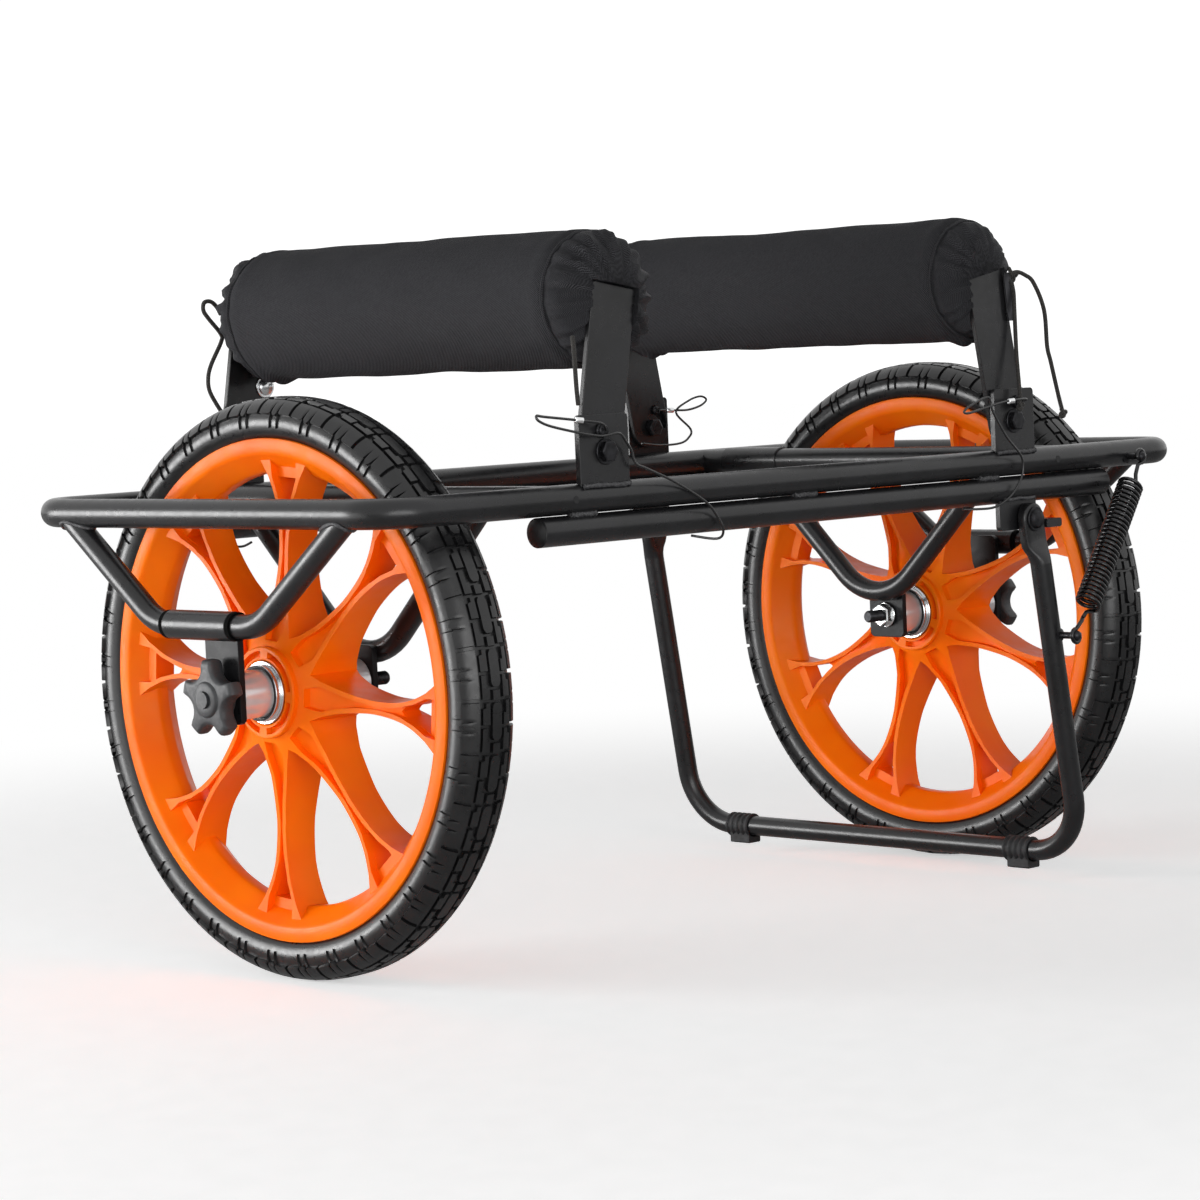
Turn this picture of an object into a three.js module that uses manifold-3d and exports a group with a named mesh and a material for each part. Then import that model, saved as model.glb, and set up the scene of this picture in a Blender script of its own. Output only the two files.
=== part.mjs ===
// Kayak cart: a tubular frame on two quick-release wheels, with two padded folding cradles and a kickstand.
// Millimetres. X runs along the wheel axles, Y the way the cart rolls, Z up, and Z = 0 is the ground.
import * as THREE from "three";
import { mergeVertices } from "three/addons/utils/BufferGeometryUtils.js";
import Module from "manifold-3d";

const wasm = await Module();
wasm.setup();

// Fits
const seatGap = 0.3; // between two pieces that touch
const overrun = 3; // how far a cutter runs past what it cuts
const weldDistance = 0.001; // vertices closer than this are one

// Counts
const railSides = 16;
const trussSides = 12;
const boltSides = 8;
const holeSides = 12;
const hexSides = 6;
const wheelSegments = 36;
const hubSegments = 16;
const bendSteps = 4;
const outerTrussBendSteps = 2;
const cornerSteps = 2;
const padSegments = 20;
const slotSteps = 5;

// Frame loop: one tube bent into a rectangle
const railRadius = 10;
const frameHalfLength = 411.25;
const frameHalfWidth = 187.35;
const frameHeight = 324.3;
const frameBendRadius = 34;
const drainHoleInset = 156.25; // from the loop's end rail
const drainHoleX = frameHalfLength - drainHoleInset;
const drainHoleRadius = 2.6;
const drainHoleDepth = 3;

// Cross rails and the tubes under the long rails
const crossRailInset = 141.25; // from the loop's end rail
const crossRailX = frameHalfLength - crossRailInset;
const crossSleeveRadius = 11.4;
const leftSleeveFront = -79;
const leftSleeveBack = 160;
const rightSleeveFront = 98;
const rightSleeveBack = 158;
const lowerTubeRadius = 10;
const lowerTubeLeftInset = 128.25; // from the loop's end rails
const lowerTubeRightInset = 93.25;
const lowerTubeLeft = lowerTubeLeftInset - frameHalfLength;
const lowerTubeRight = frameHalfLength - lowerTubeRightInset;

// Trusses that hang under the frame and carry the axles
const outerTrussRadius = 8.25;
const outerTrussBottom = 249.5;
const outerTrussCorner = 54;
const outerTrussInset = 37.35; // from the loop's long rails
const outerTrussTop = frameHalfWidth - outerTrussInset;
const outerTrussBend = 45;
const outerSleeveRadius = 10;
const outerSleeveFront = -30;
const outerSleeveBack = 42;
const innerTrussRadius = 8;
const innerTrussOverAxle = 19.27599; // its lowest tube's middle
const innerTrussInset = 60.95; // from the loop's long rails
const innerTrussTop = frameHalfWidth - innerTrussInset;
const innerTrussBend = 49;

// Axles and their plates
const axleHeight = 200;
const axleRadius = 5;
const axleInnerReach = 23; // bolt end beyond the inner plate
const axleOuterReach = 16; // bolt end beyond the outer plate
const plateWidth = 35;
const innerPlateThickness = 4.5;
const outerPlateThickness = 5;
const plateBelowAxle = 18;
const plateCorner = 5;
const plateAboveTruss = 6;
const axleFlangeRadius = 10;
const axleFlangeThickness = 2;
const axleNutRadius = 9.2;
const axleNutThickness = 7.5;
const spacerRadius = 16.5;

// Wheels
const wheelInset = 74.5; // from the loop's end rail to a wheel's middle
const wheelTrack = frameHalfLength - wheelInset;
const tyreRadius = 200;
const tyreHalfWidth = 22;
const tyreCrownHalf = 13.5;
const tyreShoulderRadius = 193;
const tyreShoulderHalf = 20.3;
const tyreBulgeRadius = 183;
const rimFlangeRadius = 172;
const rimFlangeHalf = 20;
const rimFlangeThickness = 3;
const rimSeatRadius = 166;
const rimShoulderRadius = 161;
const rimInnerRadius = 149;
const rimWellHalf = 4.5;
const spokeEndRadius = 157;
const spokeHalf = 12.5;
const armCount = 8;
const leftArmAngle = 5; // degrees
const rightArmAngle = 20; // degrees
const windowTipRadius = 41;
const spokeRootHalf = 26;
const spokeMidRadius = 60;
const spokeMidHalf = 16.5;
const hubRadius = 31.5;
const hubHalf = 30;
const hubBoreRadius = 22;
const sleeveBoreRadius = 17;
const sleeveLipRadius = 19.5;
const sleeveHalf = 34.5;
const sleeveLipStart = 28;

// Half the width of a wheel arm, at distances from the hub, both as shares of the rim's inner radius
const armEdgeShares = [
  [0.302, 0.083],
  [0.402, 0.056],
  [0.52, 0.038],
  [0.638, 0.03],
  [0.76, 0.038],
  [0.87, 0.062],
  [0.975, 0.108],
];
const underRimShares = [0, 0.33, 0.67, 1];
const rimHoleShares = [
  [0.779, 0],
  [0.81, 0.025],
  [0.9, 0.05],
  [0.975, 0.078],
];

// Wheel knobs
const knobRadius = 27;
const knobWaistRadius = 18.5;
const knobLobes = 5;
const knobPointsPerLobe = 5;
const knobLength = 17;
const knobBodyLength = 12;
const knobFaceRadius = 11.5;
const knobRecessRadius = 8;
const knobRecessDepth = 6;
const knobCollarRadius = 13;
const knobCollarLength = 3;
const leftKnobTurn = 0; // degrees
const rightKnobTurn = 18;

// Cradles: two flat arms each, pinned to brackets on the long rails
const bracketWidth = 46;
const bracketThickness = 4.5;
const bracketOverRail = 6.65; // its outer face beyond the rail's middle
const bracketFootRise = 5.7; // above the rail's middle
const bracketHeight = 49.6;
const bracketOuterFace = frameHalfWidth + bracketOverRail;
const bracketFoot = frameHeight + bracketFootRise;
const bracketTop = bracketFoot + bracketHeight;
const bracketOffset = 1; // bracket's middle outboard of the pivot
const bracketCorner = 2;
const armWidth = 40;
const armThickness = 4;
const armLength = 112; // above the pivot
const armFoot = 15; // below the pivot, and the radius of its corners
const pivotRadius = 4;
const pivotHeadRadius = 7.5;
const pivotHeadThickness = 5.3;
const pivotNutThickness = 6.5;
const holeClearance = 0.35; // round a bolt or pin
const pinOut = 4; // lock pin outboard of the pivot
const pinUp = 14; // lock pin above the pivot
const pinRadius = 3.4;
const pinHeadRadius = 5;
const pinHeadThickness = 4;
const pinReach = 4; // beyond the arm
const slotClearance = 0.4;
const cradleSwing = 65; // degrees, inward
const padScrewAlong = 53.5; // above the pivot, on the left rear arm
const padScrewAcross = 14;
const padScrewRadius = 7;
const padScrewThickness = 4;
const leftPivotInset = 188.45; // from the loop's end rail
const leftPivotRise = 30.4; // above the rail's middle
const leftPivotX = leftPivotInset - frameHalfLength;
const leftPivotHeight = frameHeight + leftPivotRise;
const leftLean = 10.1; // degrees, inward
const leftPadRadius = 47.5;
const leftPadLift = 104.4;
const leftPadShift = 2.5;
const rightPivotInset = 203.75;
const rightPivotRise = 31.2;
const rightPivotX = frameHalfLength - rightPivotInset;
const rightPivotHeight = frameHeight + rightPivotRise;
const rightLean = 11.4; // degrees, inward
const rightPadRadius = 46;
const rightPadLift = 108.8;
const rightPadShift = 1;
const padPastRail = 7.65; // its end beyond the rail's middle
const padHalfLength = frameHalfWidth + padPastRail;
const gatherDepth = 1.5;

// Half of a pad from its middle to its end: places and radii as shares of its half length and its radius
const padShares = [
  [0, 0.982],
  [0.7, 1],
  [0.845, 0.975],
  [0.866, 0.94],
  [0.885, 0.965],
  [0.925, 0.92],
  [0.96, 0.75],
  [0.985, 0.57],
  [1, 0.36],
];
const gatherStartShare = 0.87;

// Kickstand: a bent tube hinged outside the lower tubes
const standHingeInset = 194.25; // from the loop's end rail
const standHingeFall = 42.8; // below the rail's middle
const standHingeX = frameHalfLength - standHingeInset;
const standHingeHeight = frameHeight - standHingeFall;
const standLean = 9.3; // degrees, outward at its foot
const standRadius = 8;
const standLegOut = 15.85; // a leg's middle beyond the rail's
const standHalfWidth = frameHalfWidth + standLegOut;
const standRise = 23.33205; // its lowest tube's middle above the ground
const standDrop = (standHingeHeight - standRise) / Math.cos((Math.PI * standLean) / 180);
const standBend = 44;
const standEndHalfWidth = 12;
const standEndThickness = 9;
const standEndLength = 17; // below the hinge
const standTubeTop = 13; // below the hinge
const standBoltRadius = 4;
const standBoltHeadRadius = 7.2;
const standBoltHeadThickness = 5;
const standNutThickness = 5.5;
const standPlateThickness = 4;
const standPlateInset = 3; // inside the lower tube's outer edge
const standPlateInboard = 30; // of the hinge
const standPlateOutboard = 13;
const standPlateBelow = 7.5;
const standPlateAbove = 21.5;
const standPlateLeft = standHingeX - standPlateInboard;
const standPlateRight = standHingeX + standPlateOutboard;
const standPlateBottom = standHingeHeight - standPlateBelow;
const standPlateTop = standHingeHeight + standPlateAbove;
const standStopLength = 18;
const standStopThickness = 6.6;
const footLength = 24;
const frontFootInset = 58.1; // from the legs' middles
const backFootInset = 54.9;
const frontFootCentre = frontFootInset - standHalfWidth;
const backFootCentre = standHalfWidth - backFootInset;
const footRibRadius = 10.1;
const footGrooveRadius = 9.2;
const footRibs = 5;
const footBlockLength = 21;
const footBlockHalfWidth = 7;
const footBlockDrop = 14;

// Over-centre spring between a stud on the front rail and one on the stand
const studRadius = 2.6;
const studBallRadius = 4;
const studBallSegments = 8;
const studBallRings = 5;
const railStudInset = 70.25; // from the loop's end rail
const railStudX = frameHalfLength - railStudInset;
const railStudDrop = 2.5;
const railStudOut = 22.65; // beyond the rail's middle
const railStudY = -frameHalfWidth - railStudOut;
const standStudAlong = 90;
const standStudAcross = 1.6;
const standStudOut = 22.8; // beyond the leg's middle
const standStudY = -standHalfWidth - standStudOut;
const springWireRadius = 1.55;
const springOuterRadius = 10.35;
const springCurls = 29;
const curlSteps = 8;
const wireSides = 5;
const springLength = 114;
const springStart = 26; // from the rail stud to the first curl
const springHookLength = 12;

// Cords
const cordSides = 8;
const lanyardRadius = 0.9;
const drawcordRadius = 1.6;

// Finishes
const finish = (color, roughness, metalness) =>
  new THREE.MeshStandardMaterial({ color, roughness, metalness, flatShading: true });
const finishes = {
  frameCoat: finish(0x1b1b1d, 0.55, 0.3),
  orangePlastic: finish(0xff6a13, 0.4, 0),
  tyreRubber: finish(0x17181a, 0.8, 0),
  brightSteel: finish(0xc9ccd0, 0.25, 1),
  blackSteel: finish(0x202124, 0.5, 0.6),
  knobPlastic: finish(0x2a2b2e, 0.6, 0),
  padFabric: finish(0x1a1a1c, 0.9, 0),
  footRubber: finish(0x1a1a1a, 0.85, 0),
  cordWeave: finish(0x26241f, 0.8, 0),
};

const radians = THREE.MathUtils.degToRad;

// A curve through a list of points, straight between them, whose stations are the points
class Run extends THREE.Curve {
  constructor(points, closed = false) {
    super();
    this.points = closed ? [...points, points[0]] : points;
    this.closed = closed;
  }
  getPoint(share, target = new THREE.Vector3()) {
    const place = THREE.MathUtils.clamp(share, 0, 1) * (this.points.length - 1);
    const before = Math.min(Math.floor(place), this.points.length - 2);
    return target.lerpVectors(this.points[before], this.points[before + 1], place - before);
  }
  getPointAt(share, target) {
    return this.getPoint(share, target);
  }
  getTangentAt(share, target = new THREE.Vector3()) {
    const last = this.points.length - 1;
    const station = Math.round(share * last);
    const stretch = (i) => this.points[i + 1].clone().sub(this.points[i]).normalize();
    const before = station > 0 ? station - 1 : this.closed ? last - 1 : 0;
    const after = station < last ? station : this.closed ? 0 : last - 1;
    return target.copy(stretch(before)).add(stretch(after)).normalize();
  }
}

// A closed geometry as a solid that can be joined and cut
function solid(geometry) {
  const bare = new THREE.BufferGeometry();
  bare.setAttribute("position", geometry.getAttribute("position"));
  bare.setIndex(geometry.index);
  const merged = mergeVertices(bare, weldDistance);
  const corners = merged.index.array;
  const kept = [];
  for (let i = 0; i < corners.length; i += 3) {
    const [a, b, c] = corners.slice(i, i + 3);
    if (a !== b && b !== c && c !== a) kept.push(a, b, c);
  }
  return new wasm.Manifold(
    new wasm.Mesh({
      numProp: 3,
      vertProperties: merged.attributes.position.array,
      triVerts: new Uint32Array(kept),
    }),
  );
}

const join = (first, ...others) => others.reduce((whole, next) => whole.add(next), first);
const cut = (first, ...others) => others.reduce((whole, next) => whole.subtract(next), first);

function addPiece(group, name, shape, surfaceFinish) {
  const surface = shape.getMesh();
  const geometry = new THREE.BufferGeometry();
  geometry.setAttribute("position", new THREE.BufferAttribute(surface.vertProperties, 3));
  geometry.setIndex(new THREE.BufferAttribute(surface.triVerts, 1));
  geometry.computeVertexNormals();
  const mesh = new THREE.Mesh(geometry, surfaceFinish);
  mesh.name = name;
  group.add(mesh);
}

// A cylinder along x, y or z between two places on that axis
function rod(axis, radius, from, to, sides = boltSides) {
  const low = Math.min(from, to);
  const high = Math.max(from, to);
  const geometry = new THREE.CylinderGeometry(radius, radius, high - low, sides);
  geometry.translate(0, (low + high) / 2, 0);
  if (axis === "x") geometry.rotateZ(-Math.PI / 2);
  if (axis === "z") geometry.rotateX(Math.PI / 2);
  return geometry;
}

// A flat outline made thick along x, y or z: its own axes become y and z, x and z, or x and y
function slab(axis, outline, from, to) {
  const low = Math.min(from, to);
  const high = Math.max(from, to);
  const geometry = new THREE.ExtrudeGeometry(outline, {
    depth: high - low,
    bevelEnabled: false,
    curveSegments: cornerSteps,
  });
  if (axis === "x") {
    geometry.applyMatrix4(
      new THREE.Matrix4().makeBasis(
        new THREE.Vector3(0, 1, 0),
        new THREE.Vector3(0, 0, 1),
        new THREE.Vector3(1, 0, 0),
      ),
    );
    return geometry.translate(low, 0, 0);
  }
  if (axis === "y") return geometry.rotateX(Math.PI / 2).translate(0, high, 0);
  return geometry.translate(0, 0, low);
}

function block(size, centre) {
  return new THREE.BoxGeometry(...size).translate(...centre);
}

function roundedRectangle(left, bottom, right, top, corner) {
  const outline = new THREE.Shape();
  outline.moveTo(left + corner, bottom);
  outline.lineTo(right - corner, bottom);
  outline.absarc(right - corner, bottom + corner, corner, -Math.PI / 2, 0);
  outline.absarc(right - corner, top - corner, corner, 0, Math.PI / 2);
  outline.absarc(left + corner, top - corner, corner, Math.PI / 2, Math.PI);
  outline.absarc(left + corner, bottom + corner, corner, Math.PI, 1.5 * Math.PI);
  return outline;
}

// A ring turned about z from half its profile, listed from the middle outside to the middle inside
function turnedRing(half, segments) {
  const below = half.map(([radius, height]) => [radius, -height]).reverse();
  const profile = [...below, ...half, below[0]];
  const points = profile.map(([radius, height]) => new THREE.Vector2(radius, height));
  return new THREE.LatheGeometry(points, segments).rotateX(Math.PI / 2);
}

function circle(radius, sides) {
  const points = [];
  for (let i = 0; i < sides; i++) {
    const angle = (2 * Math.PI * i) / sides;
    points.push(new THREE.Vector2(radius * Math.cos(angle), radius * Math.sin(angle)));
  }
  return new THREE.Shape(points);
}

function sweep(points, radius, sides) {
  return new THREE.ExtrudeGeometry(circle(radius, sides), {
    steps: points.length - 1,
    bevelEnabled: false,
    extrudePath: new Run(points),
  });
}

// The corners of a path with an arc of the given radius put in at each one between the ends
function bentPath(corners, bendRadius, steps, closed = false) {
  const path = [];
  corners.forEach((corner, i) => {
    if (!closed && (i === 0 || i === corners.length - 1)) {
      path.push(corner.clone());
      return;
    }
    const back = corners.at(i - 1).clone().sub(corner).normalize();
    const ahead = corners[(i + 1) % corners.length].clone().sub(corner).normalize();
    const half = back.angleTo(ahead) / 2;
    const inward = back.clone().add(ahead).normalize();
    const centre = inward.multiplyScalar(bendRadius / Math.sin(half)).add(corner);
    const setback = bendRadius / Math.tan(half);
    const first = corner.clone().addScaledVector(back, setback).sub(centre);
    const last = corner.clone().addScaledVector(ahead, setback).sub(centre);
    const turn = first.angleTo(last);
    for (let step = 0; step <= steps; step++) {
      const share = step / steps;
      const spoke = first.clone().multiplyScalar(Math.sin((1 - share) * turn) / Math.sin(turn));
      spoke.addScaledVector(last, Math.sin(share * turn) / Math.sin(turn));
      path.push(spoke.add(centre));
    }
  });
  return path;
}

// The loop's tube, grown by a gap where it cuts what is seated on it
function loopTube(grow) {
  const corners = [
    [-1, -1],
    [1, -1],
    [1, 1],
    [-1, 1],
  ].map(([x, y]) => new THREE.Vector3(x * frameHalfLength, y * frameHalfWidth, frameHeight));
  const path = bentPath(corners, frameBendRadius, bendSteps, true);
  const tube = new THREE.TubeGeometry(new Run(path, true), path.length, railRadius + grow, railSides, true);
  return solid(tube);
}

function ballStud(outer, from) {
  const ball = new THREE.SphereGeometry(studBallRadius, studBallSegments, studBallRings);
  return join(solid(rod("y", studRadius, from, outer)), solid(ball.translate(0, outer, 0)));
}

function makeFrameLoop() {
  const front = -frameHalfWidth - railRadius;
  const holes = [-drainHoleX, drainHoleX].map((x) =>
    solid(rod("y", drainHoleRadius, front - overrun, front + drainHoleDepth).translate(x, 0, frameHeight)),
  );
  const stud = ballStud(railStudY, -frameHalfWidth).translate([railStudX, 0, frameHeight - railStudDrop]);
  return join(cut(loopTube(0), ...holes), stud);
}

function crossRail(side, grow) {
  const [front, back] = side < 0 ? [leftSleeveFront, leftSleeveBack] : [rightSleeveFront, rightSleeveBack];
  const rail = rod("y", railRadius + grow, -frameHalfWidth, frameHalfWidth, railSides);
  const sleeve = rod("y", crossSleeveRadius + grow, front - grow, back + grow, railSides);
  return join(
    solid(rail.translate(side * crossRailX, 0, frameHeight)),
    solid(sleeve.translate(side * crossRailX, 0, frameHeight)),
  );
}

function makeCrossRail(side) {
  return cut(crossRail(side, 0), loopTube(seatGap));
}

function lowerTube(side, grow) {
  const height = frameHeight - railRadius - lowerTubeRadius - seatGap;
  const tube = rod("x", lowerTubeRadius + grow, lowerTubeLeft, lowerTubeRight, railSides);
  return solid(tube.translate(0, side * frameHalfWidth, height));
}

function trussPath(x, corners, bend, steps) {
  return bentPath(
    corners.map(([y, z]) => new THREE.Vector3(x, y, z)),
    bend,
    steps,
  );
}

function makeOuterTruss(side) {
  const corners = [
    [-outerTrussTop, frameHeight],
    [-outerTrussCorner, outerTrussBottom],
    [outerTrussCorner, outerTrussBottom],
    [outerTrussTop, frameHeight],
  ];
  const path = trussPath(side * frameHalfLength, corners, outerTrussBend, outerTrussBendSteps);
  const tube = solid(sweep(path, outerTrussRadius, trussSides));
  const sleeve = rod("y", outerSleeveRadius, outerSleeveFront, outerSleeveBack, railSides);
  return join(
    cut(tube, loopTube(seatGap)),
    solid(sleeve.translate(side * frameHalfLength, 0, outerTrussBottom)),
  );
}

// An inner truss's legs run straight from the loop down to a bend that passes over the axle's end
const innerTrussLowest = axleHeight + innerTrussOverAxle;

function innerTrussCornerHeight() {
  const fall = frameHeight - innerTrussLowest - innerTrussBend;
  const reach = Math.hypot(innerTrussTop, fall);
  const slope = Math.atan2(fall, innerTrussTop) + Math.asin(innerTrussBend / reach);
  return frameHeight - innerTrussTop * Math.tan(slope);
}

function makeInnerTruss(side) {
  const corners = [
    [-innerTrussTop, frameHeight],
    [0, innerTrussCornerHeight()],
    [innerTrussTop, frameHeight],
  ];
  const path = trussPath(side * crossRailX, corners, innerTrussBend, bendSteps);
  return cut(solid(sweep(path, innerTrussRadius, trussSides)), crossRail(side, seatGap));
}

// Places along an axle, outward from the cart's middle
const innerPlateNear = crossRailX + innerTrussRadius + seatGap;
const innerPlateFar = innerPlateNear + innerPlateThickness;
const outerPlateFar = frameHalfLength - outerSleeveRadius - seatGap;
const outerPlateNear = outerPlateFar - outerPlateThickness;
const knobNear = outerPlateFar + seatGap;

function axleBore(side, near, far) {
  const ends = [near - overrun, far + overrun].map((place) => side * place);
  return solid(rod("x", axleRadius + holeClearance, ...ends, holeSides));
}

function makeAxlePlate(side, near, far, top) {
  const half = plateWidth / 2;
  const outline = roundedRectangle(-half, axleHeight - plateBelowAxle, half, top, plateCorner);
  const bore = axleBore(side, near, far).translate([0, 0, axleHeight]);
  return cut(solid(slab("x", outline, side * near, side * far)), bore);
}

function makeAxle(side) {
  const near = side * (innerPlateNear - axleInnerReach);
  const far = side * (outerPlateFar + axleOuterReach);
  const nutFace = innerPlateNear - seatGap;
  const flangeNear = nutFace - axleFlangeThickness;
  const bolt = rod("x", axleRadius, near, far);
  const flange = rod("x", axleFlangeRadius, side * flangeNear, side * nutFace, railSides);
  const nut = rod("x", axleNutRadius, side * (flangeNear - axleNutThickness), side * nutFace, hexSides);
  return join(solid(bolt), solid(flange), solid(nut)).translate([0, 0, axleHeight]);
}

function makeSpacer(side) {
  const near = innerPlateFar + seatGap;
  const far = outerPlateNear - seatGap;
  const outside = rod("x", spacerRadius, side * near, side * far, hubSegments);
  return cut(solid(outside), axleBore(side, near, far)).translate([0, 0, axleHeight]);
}

function makeTyre() {
  const half = [
    [tyreRadius, tyreCrownHalf],
    [tyreShoulderRadius, tyreShoulderHalf],
    [tyreBulgeRadius, tyreHalfWidth],
    [rimFlangeRadius + seatGap, rimFlangeHalf - rimFlangeThickness - seatGap],
    [rimSeatRadius + seatGap, rimFlangeHalf - rimFlangeThickness - seatGap],
  ];
  return solid(turnedRing(half, wheelSegments));
}

function onArm(shares, sign) {
  return shares.map(([along, across]) => [along * rimInnerRadius, sign * across * rimInnerRadius]);
}

function turnedPoint([x, y], angle) {
  return new THREE.Vector2(
    x * Math.cos(angle) - y * Math.sin(angle),
    x * Math.sin(angle) + y * Math.cos(angle),
  );
}

// An opening between two arms: out along one arm's edge, round under the rim and back along the next one
function wheelWindow(angle, pitch) {
  const outEdge = onArm(armEdgeShares, 1).map((point) => turnedPoint(point, angle));
  const backEdge = onArm(armEdgeShares, -1).map((point) => turnedPoint(point, angle + pitch));
  const tip = turnedPoint([windowTipRadius, 0], angle + pitch / 2);
  const spread = Math.asin(armEdgeShares.at(-1)[1]);
  const underRim = underRimShares.map((share) =>
    turnedPoint([rimFlangeRadius, 0], angle + spread + share * (pitch - 2 * spread)),
  );
  return new THREE.Shape([tip, ...outEdge, ...underRim, ...backEdge.reverse()]);
}

// The three-cornered hole where an arm widens into the rim
function rimHole(angle) {
  const outward = onArm(rimHoleShares, -1);
  const back = onArm(rimHoleShares, 1).reverse().slice(0, -1);
  return new THREE.Shape([...outward, ...back].map((point) => turnedPoint(point, angle)));
}

// The spokes are cut from a disc with one flat facet to an arm
function makeRim(armAngle) {
  const barrel = [
    [rimSeatRadius, rimFlangeHalf - rimFlangeThickness],
    [rimFlangeRadius, rimFlangeHalf - rimFlangeThickness],
    [rimFlangeRadius, rimFlangeHalf],
    [rimShoulderRadius, rimFlangeHalf],
    [rimInnerRadius, rimWellHalf],
  ];
  const pitch = (2 * Math.PI) / armCount;
  const disc = [
    [spokeEndRadius, spokeHalf],
    [spokeMidRadius, spokeMidHalf],
    [hubRadius, spokeRootHalf],
    [hubRadius - overrun, spokeRootHalf],
  ].map(([along, thick]) => [along / Math.cos(pitch / 2), thick]);
  const hub = [
    [hubRadius, hubHalf],
    [hubBoreRadius, hubHalf],
  ];
  let spokes = solid(turnedRing(disc, armCount).rotateZ(radians(armAngle) + pitch / 2));
  for (let arm = 0; arm < armCount; arm++) {
    const angle = radians(armAngle) + arm * pitch;
    spokes = cut(
      spokes,
      solid(slab("z", wheelWindow(angle, pitch), -hubHalf, hubHalf)),
      solid(slab("z", rimHole(angle), -hubHalf, hubHalf)),
    );
  }
  return join(spokes, solid(turnedRing(barrel, wheelSegments)), solid(turnedRing(hub, hubSegments)));
}

function makeHubSleeve() {
  const half = [
    [hubBoreRadius - seatGap, sleeveLipStart],
    [sleeveLipRadius, sleeveLipStart],
    [sleeveLipRadius, sleeveHalf],
    [sleeveBoreRadius, sleeveHalf],
  ];
  return solid(turnedRing(half, hubSegments));
}

// The knob's axis is z and its face is up, and turn is where its first lobe points
function makeKnob(turn) {
  const count = knobLobes * knobPointsPerLobe;
  const middle = (knobRadius + knobWaistRadius) / 2;
  const swing = (knobRadius - knobWaistRadius) / 2;
  const outline = [];
  for (let i = 0; i < count; i++) {
    const angle = (2 * Math.PI * i) / count;
    const radius = middle + swing * Math.cos(knobLobes * angle);
    outline.push(turnedPoint([radius, 0], angle + radians(turn)));
  }
  const bodyEnd = knobCollarLength + knobBodyLength;
  const body = solid(slab("z", new THREE.Shape(outline), knobCollarLength, bodyEnd));
  const collar = solid(rod("z", knobCollarRadius, 0, knobCollarLength + overrun, railSides));
  const face = solid(rod("z", knobFaceRadius, knobCollarLength, knobLength, railSides));
  const past = knobLength + overrun;
  const bore = solid(rod("z", axleRadius + holeClearance, -overrun, past, holeSides));
  const recess = solid(rod("z", knobRecessRadius, knobLength - knobRecessDepth, past, railSides));
  return cut(join(body, collar, face), bore, recess);
}

// Where a bracket's bolts go through: the pivot at the middle, and the lock pin outboard of it and above it
function boltHole(radius, x, z, near, far) {
  return solid(rod("y", radius + holeClearance, near, far, holeSides).translate(x, 0, z));
}

const bracketInnerFace = bracketOuterFace - bracketThickness;
const armOuterFace = bracketInnerFace - seatGap;
const armInnerFace = armOuterFace - armThickness;

function makeArmBracket(cradle, end) {
  const middle = cradle.pivotX + cradle.side * bracketOffset;
  const pinX = cradle.pivotX + cradle.side * pinOut;
  const outline = roundedRectangle(
    middle - bracketWidth / 2,
    bracketFoot,
    middle + bracketWidth / 2,
    bracketTop,
    bracketCorner,
  );
  const near = end * (bracketInnerFace - overrun);
  const far = end * (bracketOuterFace + overrun);
  return cut(
    solid(slab("y", outline, end * bracketInnerFace, end * bracketOuterFace)),
    loopTube(seatGap),
    boltHole(pivotRadius, cradle.pivotX, cradle.pivotHeight, near, far),
    boltHole(pinRadius, pinX, cradle.pivotHeight + pinUp, near, far),
  );
}

function makePivotBolt(cradle, end) {
  const headFace = bracketOuterFace + seatGap;
  const headFar = headFace + pivotHeadThickness;
  const nutFace = armInnerFace - seatGap;
  const nutFar = nutFace - pivotNutThickness;
  const shank = rod("y", pivotRadius, end * nutFar, end * headFar);
  const head = rod("y", pivotHeadRadius, end * headFace, end * headFar, hexSides);
  const nut = rod("y", pivotHeadRadius, end * nutFar, end * nutFace, hexSides);
  return join(solid(shank), solid(head), solid(nut)).translate([cradle.pivotX, 0, cradle.pivotHeight]);
}

function makeLockPin(cradle, end) {
  const headFace = bracketOuterFace + seatGap;
  const shank = rod("y", pinRadius, end * (armInnerFace - pinReach), end * (headFace + pinHeadThickness));
  const head = rod("y", pinHeadRadius, end * headFace, end * (headFace + pinHeadThickness));
  const place = [cradle.pivotX + cradle.side * pinOut, 0, cradle.pivotHeight + pinUp];
  return join(solid(shank), solid(head)).translate(place);
}

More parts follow.
